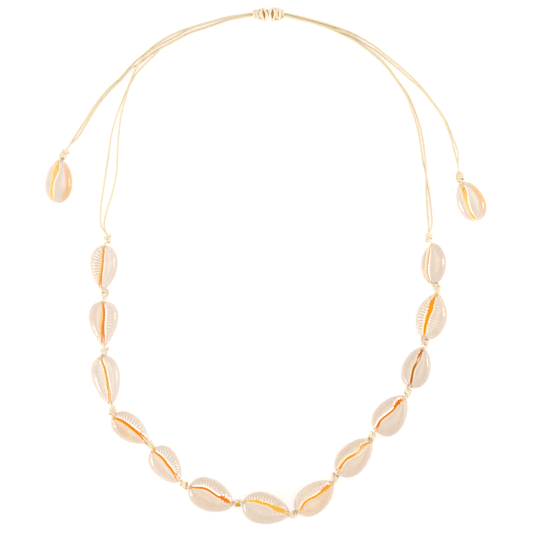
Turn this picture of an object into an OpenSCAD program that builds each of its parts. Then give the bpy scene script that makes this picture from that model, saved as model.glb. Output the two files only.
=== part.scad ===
// Cowrie choker: shells strung on a doubled waxed cord, laid out flat, slits up.
// Millimetres, +Z up, origin on the surface it lies on, in the middle of its box.

/* [Shells] */
// Height of a shell as a share of its length, its back being cut away
height_share = 0.35; // [0.33:0.01:0.38]
// Thickness of a shell's side wall at the cut
wall = 1.3; // [1.1:0.1:1.5]
// Half the width of the slit between the lips
slit_half = 0.68; // [0.62:0.02:0.8]
// How far a tooth stands into the slit
tooth = 0.12; // [0.05:0.01:0.15]
// Height of the floor of the small channel at each end of the slit
canal_z = 2.8; // [2.6:0.1:3]

/* [Cord] */
// Diameter of one strand of the waxed cord
cord_d = 0.8; // [0.6:0.05:0.8]
// Thickness of one wrap of a small knot
wrap_d = 0.9; // [0.8:0.05:0.9]
// Radius of a small knot's wraps, at the middle of the cord
wrap_r = 1.4; // [1.35:0.05:1.5]
// Thickness of one doubled wrap of a sliding knot
slide_wrap_d = 2.16; // [2:0.02:2.2]
// Radius of a sliding knot's wraps, at the middle of the cord
slide_wrap_r = 2.1; // [2.1:0.05:2.3]

/* [Hidden] */
// Shells on the strand, then the rows of the two shells on the tails
SHELLS = 13;
LEFT = 13;
RIGHT = 14;

// One row a shell, in the order of the strand; the last two hang on the cord's tails.
// x, y: middle. turn: which way the strand runs through it, in degrees.
// long, wide: its sizes. lean: how far it leans to the left of that way, in degrees.
// thin: how much narrower its far half gets evenly. tip: how much more its far tip does.
// s1 to s5: the slit, to the left of the middle line, at five even places on the way.
//   x       y      turn  long  wide lean  thin   tip    s1    s2    s3    s4    s5
SHELL = [
  [-72.7,   -0.8, -91.8, 20.2, 12.1,  -8, 0.22, 0.20, -0.4, -0.3, -0.5, -1.0, -0.4],
  [-72.7,  -26.0, -89.1, 20.5, 12.5,   2, 0.40, 0.14, -0.3, -0.2, -0.6, -0.8, -0.4],
  [-71.4,  -51.2, -79.6, 22.3, 12.3,   0, 0.27, 0.02, -0.9, -0.2,  0.0,  0.0, -0.3],
  [-60.7,  -73.1,   -37, 19.5, 11.6,   0, 0.19, 0.16, -0.8,  0.2,  0.3,  0.1, -0.1],
  [-44.7,  -89.4,   -54, 18.8, 12.5,  -4, 0.25, 0.00, -1.0,  0.1,  0.4,  0.7,  0.6],
  [-24.5, -103.1, -24.4, 21.5, 14.4,   4, 0.16, 0.10, -0.6,  0.8,  0.8,  0.7,  0.3],
  [  0.1, -109.0,   -12, 21.8, 14.2,   5, 0.19, 0.09,  1.0,  1.6,  1.4,  0.5,  0.0],
  [ 22.1, -103.9,  39.4, 21.1, 13.2,   4, 0.15, 0.10, -0.7,  0.3, -0.1, -0.2,  0.2],
  [ 39.7,  -85.8,  46.6, 21.1, 13.2,  10, 0.17, 0.00,  0.8,  1.1,  0.5,  0.0, -0.5],
  [ 56.3,  -66.8,  54.9, 20.6, 14.0,   8, 0.24, 0.05,  1.4,  1.5,  0.5,  0.0, -0.6],
  [ 67.7,  -45.7,  72.7, 18.8, 12.7,   8, 0.16, 0.00,  0.2,  0.2,  0.5,  0.0, -0.2],
  [ 74.5,  -22.6,  76.7, 21.4, 13.8,   8, 0.03, 0.32,  0.8,  1.2,  1.0,  0.7, -0.3],
  [ 75.2,    1.0,    87, 18.4, 11.4,  18, 0.01, 0.18,  0.3,  1.6,  1.7,  1.4,  1.5],
  [-92.9,   37.9,  85.4, 19.5, 12.5,  18, 0.15, 0.00,  1.2,  2.1,  1.7,  0.6,  0.1],
  [ 91.8,   29.0, 114.6, 18.9, 12.4,  14, 0.13, 0.00,  0.9,  1.7,  1.3,  0.3,  0.1]
];

// Middles of the small knots between the shells, in the order of the strand
KNOT = [
  [-71.1, 12.1], [-72.3, -12.9], [-72.5, -38.3], [-68.8, -64.6], [-51.8, -80.1],
  [-36.6, -98.2], [-12.5, -106.5], [12.2, -111.7], [31.0, -95.3], [47.7, -76.6],
  [63.7, -56.7], [71.4, -34.5], [76.9, -10.0], [73.2, 12.9]
];

// Middles of the two sliding knots
SLIDE_KNOT = [[-2, 113], [4.7, 113]];

// Routes of the four loose strands: up the neck on one side, through both sliding
// knots, and down the tail on the other side. x, y and height, chosen by hand.
NECK_LEFT = [
  [[-73.8, 17.7, 1.9], [-74.2, 25.8, 0.4], [-73.2, 33, 0.4], [-71.8, 42, 0.4], [-70.5, 51, 0.4],
   [-69.4, 59.1, 0.4], [-67.2, 67.2, 0.4], [-64.5, 74.4, 0.4], [-61.8, 80.7, 0.4],
   [-59.3, 86.6, 0.6], [-57.1, 90.9, 1.35], [-54.7, 94, 1.25], [-52.5, 96.2, 1.2],
   [-49.6, 98.3, 0.9], [-44.6, 101.1, 0.5], [-39.2, 103.9, 0.6], [-33.8, 106.8, 1.25],
   [-28.4, 108.6, 1.25], [-23, 110.2, 1.25], [-17.6, 111.6, 1.25], [-12.2, 112.5, 1.75]],
  [[-72.6, 17.7, 1], [-71.1, 25.8, 0.4], [-68.9, 33, 0.4], [-67.1, 42, 0.4], [-66.6, 51, 0.4],
   [-66.1, 59.1, 0.4], [-64.9, 68.1, 0.4], [-63.1, 75.3, 1.1], [-61, 81.3, 1.15],
   [-58.3, 86.2, 0.6], [-55.4, 89.5, 0.4], [-53, 91.9, 0.4], [-50, 94.9, 0.65],
   [-47.3, 97.7, 1.3], [-44.6, 99.2, 1.25], [-39.2, 102.1, 1.25], [-33.8, 104.8, 1.25],
   [-28.4, 106.6, 1.25], [-23, 108.4, 1.25], [-17.6, 110.3, 1.25], [-12.2, 111.6, 1.75]]
];
NECK_RIGHT = [
  [[74.6, 18.4, 2.8], [74.3, 25.8, 0.4], [73.4, 33, 0.4], [72.2, 40.2, 0.4], [70.7, 47.4, 0.4],
   [69.6, 54.6, 0.4], [68.3, 61.8, 0.4], [66.2, 69, 0.9], [63.5, 76.2, 1.2], [59.2, 83, 1.2],
   [53.7, 90.2, 1.2], [48.6, 95, 1.2], [43.4, 99, 1.2], [39, 102, 1.2], [35.4, 103.7, 1],
   [31.8, 105.5, 0.45], [27.3, 107.4, 0.4], [19.2, 110, 0.4], [12.7, 111.5, 0.8]],
  [[73.2, 18.8, 1], [72.6, 25.8, 0.4], [72.2, 33, 0.85], [72.2, 40.2, 1.35],
   [71.8, 47.4, 0.85], [71.1, 54.6, 0.4], [69.7, 61.8, 0.4], [67.4, 69, 0.4], [64.3, 76.2, 0.4],
   [59.5, 83.3, 0.4], [54, 90.5, 0.4], [48.9, 95.3, 0.4], [43.6, 99.3, 0.4], [39.1, 102.5, 0.4],
   [35.4, 104.5, 0.4], [31.9, 106.5, 0.4], [27.4, 108.3, 0.4], [19.3, 110.9, 0.4],
   [12.7, 112.5, 0.8]]
];
TAIL_LEFT = [
  [[-12.2, 111.6, 0.85], [-17.6, 110.5, 0.4], [-23, 108.6, 0.4], [-28.4, 106.8, 0.4],
   [-33.8, 105, 0.4], [-39.2, 102.3, 0.4], [-44.7, 99.4, 0.4], [-50.1, 96.3, 0.4],
   [-52.7, 94.3, 0.4], [-55.4, 92.2, 0.4], [-57.9, 90.3, 0.4], [-60.6, 88.7, 1.1],
   [-64.8, 84, 1.15], [-69.3, 79.6, 0.5], [-75, 72.9, 0.4], [-79.9, 65.2, 0.4],
   [-84.5, 57.8, 0.4], [-88.3, 53.8, 3.65]],
  [[-12.2, 112.6, 0.85], [-17.6, 111.8, 0.4], [-23, 110.3, 0.4], [-28.4, 108.8, 0.4],
   [-33.8, 107.1, 0.4], [-39.2, 105.3, 0.4], [-44.6, 102.7, 0.4], [-50, 99.2, 0.4],
   [-52.7, 96.9, 0.4], [-55.4, 94.6, 0.4], [-58.1, 92.4, 0.4], [-61.1, 89.4, 0.4],
   [-65.3, 84.6, 0.4], [-70.5, 79.9, 0.4], [-76.3, 72.9, 0.4], [-81.3, 65.2, 0.4],
   [-86.1, 57.8, 0.4], [-88.3, 53.8, 2.75]]
];
TAIL_RIGHT = [
  [[12.7, 112.6, 2], [19.3, 111, 1.25], [27.4, 108.8, 1.25], [32.3, 107.2, 0.85],
   [38.2, 105, 0.4], [43.6, 102.2, 0.4], [49, 98.9, 0.4], [54.4, 94.6, 0.4], [59.8, 90.3, 0.4],
   [65.2, 85.5, 0.4], [70.3, 80.1, 0.4], [76.2, 72.6, 0.4], [81, 65.4, 0.4], [84, 58.2, 0.4],
   [86.4, 51, 1.2], [86.4, 45, 3.65]],
  [[12.7, 111.6, 2], [19.2, 110.1, 1.25], [27.4, 107.7, 1.2], [32.3, 105.8, 1.4],
   [38.2, 103.9, 1.1], [43.6, 100.5, 0.5], [49, 97.2, 0.4], [54.4, 93, 0.4], [59.8, 88.6, 0.4],
   [64.8, 84.1, 0.4], [69.8, 79.6, 1.1], [75.7, 72.3, 1.15], [80.4, 65.2, 1.1], [83.1, 58, 0.4],
   [85, 51, 0.5], [86.4, 45, 2.75]]
];

// Section of a shell's wall, from under the lip over the top to the outline.
// across: from the slit, 0, to the outline, 1. down: millimetres below the crest.
//         across down
LIP = [
  [0.00, 1.5],
  [0.00, 0.9],
  [0.10, 0.3],
  [0.38, 0.0],
  [0.70, 0.55],
  [0.90, 1.7]
];
// From the outline down to the cut and back up inside: share of the outline,
// inset by the wall or not, and height as a share of the shell's height.
//         share inset height
SIDE = [
  [1.00, 0, 0.55],
  [0.94, 0, 0.24],
  [0.80, 0, 0.00],
  [0.80, 1, 0.00],
  [0.88, 1, 0.68]
];
HALF = 18;
ROUND = 2 * HALF;
WALL = len(LIP) + len(SIDE);
slit_end = 2;
canal_half = 0.62;
canal_flare = 0.35;
end_droop = 0.4;
under_canal = 0.9;

strand_gap = 0.45;
thread_z = canal_z + 0.1 + cord_d / 2 + strand_gap;
knot_pitch = 0.85;
knot_wraps = 3;
tail_wraps = 5;
slide_pitch = 2.15;
slide_offset = 0.42;
slide_z = slide_wrap_r + slide_wrap_d / 2;
end_gap = 0.3;
tail_gap = 0.5;
stop_r = 0.95;
stop_in = 1.2;
stop_z = 3.2;

shell_color = [0.93, 0.85, 0.78];
cord_color = [0.93, 0.86, 0.72];

// Named columns of a shell's row
function turn(r) = r[2];
function half_long(r) = r[3] / 2;
function half_wide(r) = r[4] / 2;
function lean(r) = r[5];
function thin(r) = r[6];
function tip(r) = r[7];
function slit_row(r) = [for (k = [8:12]) r[k]];
function high(r) = max(6.8, r[3] * height_share);

function unit(v) = v / norm(v);

// A smooth value between four even ones, at f from the second to the third
function between(a, b, c, d, f) =
  0.5 * (2 * b + (c - a) * f + (2 * a - 5 * b + 4 * c - d) * f * f
         + (3 * b - a - 3 * c + d) * f * f * f);

// The slit's place to the left of the middle line, s from -1 to 1 along the shell
function slit_at(r, s) =
  let (v = slit_row(r), q = (max(-1, min(1, s)) + 1) * 2, k = min(3, floor(q)))
  between(v[max(0, k - 1)], v[k], v[k + 1], v[min(4, k + 2)], q - k);

// Half the outline's width before its rounding, c from -1 to 1 along the shell
function breadth(r, c) = half_wide(r) * (1 - thin(r) * c - tip(r) * pow(max(0, c), 2));

// The outline at an angle from the far end
function outline(r, angle) =
  [half_long(r) * cos(angle), sin(angle) * breadth(r, cos(angle))];

// The outline drawn in to a share of itself, less an inset, with the end channels
// kept in line with the slit
function drawn_in(r, angle, share, inset) =
  let (c = cos(angle), o = outline(r, angle) - [0, slit_at(r, c) * c * c],
       p = o * share - unit(o) * inset)
  p + [0, slit_at(r, p.x / half_long(r)) * c * c];

// Angle on the outline, from that end, where it meets the line of the slit
function end_angle(r, far, tries = 5) =
  tries == 0 ? 0 : let (c = far * cos(end_angle(r, far, tries - 1)))
  asin(slit_at(r, c) / breadth(r, c));

// Angle that one end's channel takes up on each side
function canal_angle(r, far, wider) = asin((canal_half + wider) / breadth(r, far));

// Step k of the way from the far end, 0, down one side to the near end, HALF
function side_share(k) = (k - 2) / (HALF - 4);
function step_angle(r, k, side) =
  let (a = end_angle(r, 1), b = side * 180 - end_angle(r, -1),
       from = a + side * canal_angle(r, 1, canal_flare),
       to = b - side * canal_angle(r, -1, canal_flare))
  k == 0 ? a : k == 1 ? a + side * canal_angle(r, 1, 0)
  : k == HALF ? b : k == HALF - 1 ? b - side * canal_angle(r, -1, 0)
  : from + (to - from) * side_share(k);

// Place of the slit's edge at step k on one side
function slit_x(r, k) =
  let (e = half_long(r) - slit_end)
  k < 2 ? e : k > HALF - 2 ? -e : (e - 0.1) * (1 - 2 * side_share(k));
function slit_edge(r, k, side) =
  let (x = slit_x(r, k), bite = k % 2 == 0 && k > 2 && k < HALF - 2 ? tooth : 0,
       gap = k == 0 || k == HALF ? 0 : k == 1 || k == HALF - 1 ? canal_half
             : slit_half - bite)
  [x, slit_at(r, x / half_long(r)) + side * gap];

// Highest that the wall reaches at step k: low in the channels at the ends
function top_limit(r, k) = k < 2 || k > HALF - 2 ? canal_z : high(r);

// One section of the wall, as points
function section(r, k, side) =
  let (a = step_angle(r, k, side),
       s = slit_edge(r, k, side), o = outline(r, a), t = top_limit(r, k),
       crest = high(r) - end_droop * pow(cos(a), 2))
  concat(
    [for (j = [0:len(LIP) - 1])
      let (p = s + (o - s) * LIP[j][0])
      [p.x, p.y, min(crest - LIP[j][1], t - (j == 0 ? under_canal : 0))]],
    [for (j = [0:len(SIDE) - 1])
      let (p = drawn_in(r, a, SIDE[j][0], SIDE[j][1] * wall))
      [p.x, p.y, min(high(r) * SIDE[j][2],
                     t - (j == len(SIDE) - 1 ? under_canal : 0))]]
  );

// A shell on its cut back, its far end along +X, as a ring of sections
function shell_points(r) = concat(
  [for (k = [0:HALF]) each section(r, k, 1)],
  [for (k = [HALF - 1:-1:1]) each section(r, k, -1)]
);
function ring_faces(rings, sides) = [
  for (i = [0:rings - 1], j = [0:sides - 1])
    let (a = i * sides, b = (i + 1) % rings * sides, n = (j + 1) % sides)
    each [[a + j, b + j, b + n], [a + j, b + n, a + n]]
];

// Half a shell's greatest width, which lies towards its near end
function widest(r) = half_wide(r) * (1 + pow(thin(r), 2) / 2);

// Height of the thread in a shell that leans, with its lower edge on the surface
function axis_z(r) =
  widest(r) * SIDE[2][0] * sin(abs(lean(r))) + thread_z * cos(lean(r));

// A point of a shell's own frame, in the choker's frame
function placed(r, p) =
  let (z = p.z - thread_z, y = p.y * cos(lean(r)) + z * sin(lean(r)),
       up = z * cos(lean(r)) - p.y * sin(lean(r)))
  [r[0] + p.x * cos(turn(r)) - y * sin(turn(r)),
   r[1] + p.x * sin(turn(r)) + y * cos(turn(r)), axis_z(r) + up];

// Where strand a (up 1) or b (up -1) enters or leaves a shell: s is -1 or 1
function mouth(r, s, out, up) =
  let (x = s * (half_long(r) + out))
  placed(r, [x, slit_at(r, x / half_long(r)), thread_z + up * strand_gap]);

// Middle and direction of each small knot
function knot_way(k) =
  let (before = k == 0 ? [KNOT[0].x - 0.6, KNOT[0].y + 6, 3.2] : mouth(SHELL[k - 1], 1, 0, 0),
       after = k == SHELLS ? [KNOT[k].x + 0.2, KNOT[k].y + 6, 3.6] : mouth(SHELL[k], -1, 0, 0))
  unit(after - before);
function knot_mid(k) =
  let (z = k == 0 ? axis_z(SHELL[0]) : k == SHELLS ? axis_z(SHELL[SHELLS - 1])
           : (axis_z(SHELL[k - 1]) + axis_z(SHELL[k])) / 2)
  [KNOT[k].x, KNOT[k].y, z];
function knot_long(wraps) = (wraps - 1) * knot_pitch + wrap_d;
function knot_end(k, s, up) =
  knot_mid(k) + knot_way(k) * s * knot_long(knot_wraps) / 2 + [0, 0, up * strand_gap];

// The tail knots sit on the straight run into the tail shell's channel, and the
// stop knots just inside it, too thick to slip back through
function tail_row(side) = SHELL[side == 0 ? LEFT : RIGHT];
function tail_way(side) =
  let (tails = side == 0 ? TAIL_LEFT : TAIL_RIGHT, n = len(tails[0]) - 1)
  unit(mouth(tail_row(side), 1, 0.1, 0) - (tails[0][n] + tails[1][n]) / 2);
function tail_mid(side) =
  mouth(tail_row(side), 1, 0.1, 0) - tail_way(side) * (knot_long(tail_wraps) / 2 + tail_gap);
function inside_tail(side, x, up) =
  let (r = tail_row(side))
  placed(r, [x, slit_at(r, x / half_long(r)), stop_z + up * strand_gap]);
function stop_x(side) = half_long(tail_row(side)) - slit_end - stop_r - stop_in;
function stop_mid(side) = inside_tail(side, stop_x(side), 0);

// Route of one strand of the thread through all shells and knots
function thread_route(up) = concat(
  [for (k = [0:SHELLS - 1]) let (r = SHELL[k], e = half_long(r) - slit_end) each [
    knot_end(k, -1, up), knot_end(k, 1, up),
    mouth(r, -1, 0.1, up), mouth(r, -1, -slit_end, up),
    placed(r, [0, slit_at(r, 0), thread_z + up * strand_gap]),
    mouth(r, 1, -slit_end, up), mouth(r, 1, 0.1, up)
  ]],
  [knot_end(SHELLS, -1, up), knot_end(SHELLS, 1, up)]
);

// Where a strand passes the outer faces of the sliding knots
function slide_face(side, y, z) =
  let (reach = slide_pitch + slide_wrap_d / 2 + end_gap)
  [SLIDE_KNOT[side].x + (side == 0 ? -reach : reach),
   SLIDE_KNOT[side].y + y * slide_offset, slide_z + z * slide_offset];

// Route of a loose strand from the end of the shell strand to its tail shell
function cord_route(first, way, neck, faces, tail, side, up) = concat(
  [first + way * end_gap], neck, faces, tail,
  [mouth(tail_row(side), 1, 0.1, up), mouth(tail_row(side), 1, -slit_end, up),
   inside_tail(side, stop_x(side) + stop_r + end_gap, up)]
);

// A tube of a cord's thickness along a route
function ring_at(route, i, sides, r) =
  let (n = len(route) - 1, a = route[max(0, i - 1)], b = route[i],
       c = route[min(n, i + 1)],
       way = unit((i == 0 ? [0, 0, 0] : unit(b - a)) + (i == n ? [0, 0, 0] : unit(c - b))),
       across = unit(cross(way, [0, 0, 1])), up = cross(across, way))
  [for (j = [0:sides - 1])
    b + r * (cos(360 * j / sides) * across + sin(360 * j / sides) * up)];
module tube(route, d, sides) {
  n = len(route);
  polyhedron(
    [for (i = [0:n - 1]) each ring_at(route, i, sides, d / 2)],
    concat(
      [for (i = [0:n - 2], j = [0:sides - 1])
        let (a = i * sides, b = a + sides, m = (j + 1) % sides)
        each [[a + j, a + m, b + m], [a + j, b + m, b + j]]],
      [[for (j = [sides - 1:-1:0]) j], [for (j = [0:sides - 1]) (n - 1) * sides + j]]
    )
  );
}

// A barrel of wraps round the X axis
module barrel(wraps, pitch, r, d) {
  rotate([0, 90, 0])
    rotate_extrude($fn = 48)
      union() {
        for (k = [0:wraps - 1])
          translate([r, (k - (wraps - 1) / 2) * pitch]) circle(d = d, $fn = 32);
        translate([r - d / 4, -(wraps - 1) * pitch / 2])
          square([d / 2, (wraps - 1) * pitch]);
      }
}

module aimed(mid, way) {
  translate(mid)
    rotate([0, -asin(way.z), atan2(way.y, way.x)])
      children();
}

module cowrie(r) {
  color(shell_color)
    translate([r[0], r[1], axis_z(r)])
      rotate([-lean(r), 0, turn(r)])
        translate([0, 0, -thread_z])
          polyhedron(shell_points(r), ring_faces(ROUND, WALL));
}

module small_knot(mid, way, wraps) {
  color(cord_color) aimed(mid, way) barrel(wraps, knot_pitch, wrap_r, wrap_d);
}

module slide_knot(side) {
  color(cord_color)
    translate([SLIDE_KNOT[side].x, SLIDE_KNOT[side].y, slide_z])
      barrel(3, slide_pitch, slide_wrap_r, slide_wrap_d);
}

module stop_knot(side) {
  color(cord_color) translate(stop_mid(side)) sphere(stop_r, $fn = 32);
}

module strand_thread(up) {
  color(cord_color) tube(thread_route(up), cord_d, 6);
}

// Left strands run over the top of the sliding knots' holes, right ones below
module cord_left(k) {
  up = 1 - 2 * k;
  color(cord_color)
    tube(cord_route(knot_end(0, -1, up), -knot_way(0), NECK_LEFT[k],
                    [slide_face(0, up, 1), slide_face(1, up, 1)],
                    TAIL_RIGHT[k], 1, up), cord_d, 8);
}

module cord_right(k) {
  up = 1 - 2 * k;
  color(cord_color)
    tube(cord_route(knot_end(SHELLS, 1, up), knot_way(SHELLS), NECK_RIGHT[k],
                    [slide_face(1, -up, -1), slide_face(0, -up, -1)],
                    TAIL_LEFT[k], 0, up), cord_d, 8);
}

cowrie(SHELL[0]);  // shell_01
cowrie(SHELL[1]);  // shell_02
cowrie(SHELL[2]);  // shell_03
cowrie(SHELL[3]);  // shell_04
cowrie(SHELL[4]);  // shell_05
cowrie(SHELL[5]);  // shell_06
cowrie(SHELL[6]);  // shell_07
cowrie(SHELL[7]);  // shell_08
cowrie(SHELL[8]);  // shell_09
cowrie(SHELL[9]);  // shell_10
cowrie(SHELL[10]);  // shell_11
cowrie(SHELL[11]);  // shell_12
cowrie(SHELL[12]);  // shell_13
cowrie(SHELL[LEFT]);  // tail_shell_left
cowrie(SHELL[RIGHT]);  // tail_shell_right
small_knot(knot_mid(0), knot_way(0), knot_wraps);  // knot_01
small_knot(knot_mid(1), knot_way(1), knot_wraps);  // knot_02
small_knot(knot_mid(2), knot_way(2), knot_wraps);  // knot_03
small_knot(knot_mid(3), knot_way(3), knot_wraps);  // knot_04
small_knot(knot_mid(4), knot_way(4), knot_wraps);  // knot_05
small_knot(knot_mid(5), knot_way(5), knot_wraps);  // knot_06
small_knot(knot_mid(6), knot_way(6), knot_wraps);  // knot_07
small_knot(knot_mid(7), knot_way(7), knot_wraps);  // knot_08
small_knot(knot_mid(8), knot_way(8), knot_wraps);  // knot_09
small_knot(knot_mid(9), knot_way(9), knot_wraps);  // knot_10
small_knot(knot_mid(10), knot_way(10), knot_wraps);  // knot_11
small_knot(knot_mid(11), knot_way(11), knot_wraps);  // knot_12
small_knot(knot_mid(12), knot_way(12), knot_wraps);  // knot_13
small_knot(knot_mid(13), knot_way(13), knot_wraps);  // knot_14
small_knot(tail_mid(0), tail_way(0), tail_wraps);  // tail_knot_left
small_knot(tail_mid(1), tail_way(1), tail_wraps);  // tail_knot_right
stop_knot(0);  // stop_knot_left
stop_knot(1);  // stop_knot_right
slide_knot(0);  // slide_knot_left
slide_knot(1);  // slide_knot_right
strand_thread(1);  // strand_thread_a
strand_thread(-1);  // strand_thread_b
cord_left(0);  // cord_left_a
cord_left(1);  // cord_left_b
cord_right(0);  // cord_right_a
cord_right(1);  // cord_right_b
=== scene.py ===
# %% [markdown]
# Shell choker. Thirteen cowrie shells are knotted one after another on a doubled
# waxed cord, and the four free strands run up the neck, through two sliding knots,
# and down to a shell on each tail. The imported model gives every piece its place.
# This script gives it the finish: ribbed glossy shells, twisted cord and real knots.

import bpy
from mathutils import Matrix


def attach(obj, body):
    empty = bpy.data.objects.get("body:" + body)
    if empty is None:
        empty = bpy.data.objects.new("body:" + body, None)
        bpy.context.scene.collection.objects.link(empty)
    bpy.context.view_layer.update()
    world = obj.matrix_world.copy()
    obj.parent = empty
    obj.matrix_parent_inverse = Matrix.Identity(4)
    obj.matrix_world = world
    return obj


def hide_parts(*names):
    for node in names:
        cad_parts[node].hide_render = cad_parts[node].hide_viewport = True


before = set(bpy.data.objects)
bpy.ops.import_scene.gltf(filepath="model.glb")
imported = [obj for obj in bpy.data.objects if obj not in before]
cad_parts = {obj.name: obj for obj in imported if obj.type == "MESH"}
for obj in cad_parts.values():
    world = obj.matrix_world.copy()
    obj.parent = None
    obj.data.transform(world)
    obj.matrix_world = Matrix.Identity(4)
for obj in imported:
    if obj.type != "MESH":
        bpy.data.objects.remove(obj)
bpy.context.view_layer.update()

import math
import random
from collections import namedtuple

import bpy
import numpy as np
from mathutils import Vector

MM = 0.001
BODY = "root"
print("pieces in the frame:", len(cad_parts))

# %% [markdown]
# The camera comes first. The choker was photographed from straight above, so the
# camera looks down its own -Z with the sliding knots at the top of the picture. A
# long lens from far off keeps the shells at the edge of the picture upright.

# %% Camera
SENSOR = 36.0
CAMERA_HEIGHT = 1.6
CLIP_END = 20
PICTURE_WIDTH = 239.85 * MM
PICTURE_MIDDLE = (0.36 * MM, -0.27 * MM)


def in_scene(obj):
    """Put a new object into the scene, and give it back."""
    bpy.context.scene.collection.objects.link(obj)
    return obj


camera_data = bpy.data.cameras.new("camera")
camera_data.sensor_width = SENSOR
camera_data.lens = SENSOR * CAMERA_HEIGHT / PICTURE_WIDTH
camera_data.clip_end = CLIP_END
camera = in_scene(bpy.data.objects.new("camera", camera_data))
camera.location = (*PICTURE_MIDDLE, CAMERA_HEIGHT)
bpy.context.scene.camera = camera
print("lens", round(camera_data.lens), "mm")

# %% [markdown]
# The tables say where each shell lies, one row a shell in the order of the strand,
# with the two tail shells last. A row gives the shell's middle, the way that the
# strand runs through it, its length, width and lean, and how much narrower its far
# half and its far tip are. The second table bends the slit, since no two are alike:
# how far it lies to the left of the middle line at nine even places. Each outline
# could be traced point by point, but these few numbers keep the shells one family.

# %% Shells on the strand
Shell = namedtuple("Shell", "x y turn long wide lean thin tip slit")
# Millimetres, degrees, and for the last two columns shares of the width
#     x       y     turn  long  wide lean  thin  tip
SHELL_TABLE = [
    [ -72.7,   -0.8, -91.8, 20.2, 12.1,  -8, 0.22, 0.20],
    [ -72.7,  -26.0, -89.1, 20.5, 12.5,   2, 0.40, 0.14],
    [ -71.4,  -51.2, -79.6, 22.3, 12.3,   0, 0.27, 0.02],
    [ -60.7,  -73.1,   -37, 19.5, 11.6,   0, 0.19, 0.16],
    [ -44.7,  -89.4,   -54, 18.8, 12.5,  -4, 0.25, 0.00],
    [ -24.5, -103.1, -24.4, 21.5, 14.4,   4, 0.16, 0.10],
    [   0.1, -109.0,   -12, 21.8, 14.2,   5, 0.19, 0.09],
    [  22.1, -103.9,  39.4, 21.1, 13.2,   4, 0.15, 0.10],
    [  39.7,  -85.8,  46.6, 21.1, 13.2,  10, 0.17, 0.00],
    [  56.3,  -66.8,  54.9, 20.6, 14.0,   8, 0.24, 0.05],
    [  67.7,  -45.7,  72.7, 18.8, 12.7,   8, 0.16, 0.00],
    [  74.5,  -22.6,  76.7, 21.4, 13.8,   8, 0.03, 0.32],
    [  75.2,    1.0,    87, 18.4, 11.4,  18, 0.01, 0.18],
    [ -92.9,   37.9,  85.4, 19.5, 12.5,  18, 0.15, 0.00],
    [  91.8,   29.0, 114.6, 18.9, 12.4,  14, 0.13, 0.00],
]
#    from the end where the strand enters to the end where it leaves
SLIT_TABLE = [
    [-0.2,  0.2,  0.0,  0.0, -0.2, -0.5, -0.7, -0.8, -0.4],
    [-0.2,  0.1,  0.3,  0.1, -0.2, -0.4, -0.3, -0.4, -0.3],
    [-0.8, -0.3,  0.2,  0.3,  0.4,  0.2,  0.3,  0.0, -0.3],
    [-0.6,  0.1,  0.7,  0.8,  0.8,  0.7,  0.6,  0.4, -0.1],
    [-0.8, -0.2,  0.6,  0.9,  0.9,  1.1,  1.0,  1.1,  0.7],
    [-0.5,  0.3,  1.4,  1.8,  1.4,  0.9,  1.0,  0.6,  0.4],
    [ 1.1,  1.8,  2.2,  2.0,  2.0,  1.3,  0.9,  0.6, -0.1],
    [-0.6,  0.0,  1.0,  1.0,  0.3,  0.0, -0.1,  0.0,  0.1],
    [ 0.8,  0.9,  1.4,  1.4,  0.6, -0.2, -0.1, -0.3, -0.6],
    [ 1.6,  1.8,  2.2,  1.7,  0.9,  0.2,  0.2,  0.0, -0.6],
    [ 0.2,  0.2,  0.5,  0.8,  0.8,  0.2, -0.1, -0.1, -0.1],
    [ 0.9,  1.2,  1.5,  1.5,  1.4,  0.9,  1.0,  0.6, -0.3],
    [ 0.3,  1.0,  1.8,  2.1,  1.9,  1.8,  1.6,  1.4,  1.4],
    [ 1.2,  1.7,  2.1,  2.0,  1.7,  1.2,  0.6,  0.3,  0.1],
    [ 0.9,  1.3,  1.7,  1.6,  1.3,  0.8,  0.3,  0.1,  0.1],
]
SHELL = [Shell(*row, slit) for row, slit in zip(SHELL_TABLE, SLIT_TABLE)]
SHELLS, LEFT, RIGHT = 13, 13, 14
print("shells", len(SHELL), "of", min(row.long for row in SHELL), "to",
      max(row.long for row in SHELL), "mm")

# %% [markdown]
# Every part of a shell is worked out in the shell's own frame: the strand's way is X
# and the cut lies on Z = 0. Then it is leaned, turned and moved to its place. Parented
# empties could do that too, but as plain arithmetic the strands and the knots can
# ask the same functions where a shell's mouth is.

# %% A shell's own frame
CORD_D = 0.8
STRAND_GAP = 0.45
CANAL_Z, CORD_CLEAR = 2.8, 0.1
THREAD_Z = CANAL_Z + CORD_CLEAR + CORD_D / 2 + STRAND_GAP
CUT_SHARE = 0.8


def unit(v):
    """A vector of length one."""
    v = np.asarray(v, float)
    return v / np.linalg.norm(v)


def turned(degrees):
    """Cosine and sine of an angle in degrees."""
    return math.cos(math.radians(degrees)), math.sin(math.radians(degrees))


def even_points(values, s):
    """A smooth curve through values at even places from s = -1 to 1."""
    v = np.asarray(values, float)
    last = len(v) - 1
    q = (np.clip(s, -1, 1) + 1) * last / 2
    k = np.minimum(last - 1, np.floor(q)).astype(int)
    f = q - k
    a, b, c, d = v[np.maximum(0, k - 1)], v[k], v[k + 1], v[np.minimum(last, k + 2)]
    return 0.5 * (2 * b + (c - a) * f + (2 * a - 5 * b + 4 * c - d) * f**2
                  + (3 * b - a - 3 * c + d) * f**3)


def slit_at(row, s):
    """How far left of the middle line the slit lies, at s from -1 to 1."""
    return even_points(row.slit, s)


def breadth(row, c):
    """Half the outline's width before its rounding, at c from -1 to 1 along a shell."""
    return row.wide / 2 * (1 - row.thin * c - row.tip * np.maximum(0, c) ** 2)


def axis_height(row):
    """How high the strand runs in a shell that leans with its lower edge down."""
    cos_lean, sin_lean = turned(abs(row.lean))
    widest = row.wide / 2 * (1 + row.thin ** 2 / 2)
    return widest * CUT_SHARE * sin_lean + THREAD_Z * cos_lean


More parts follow.
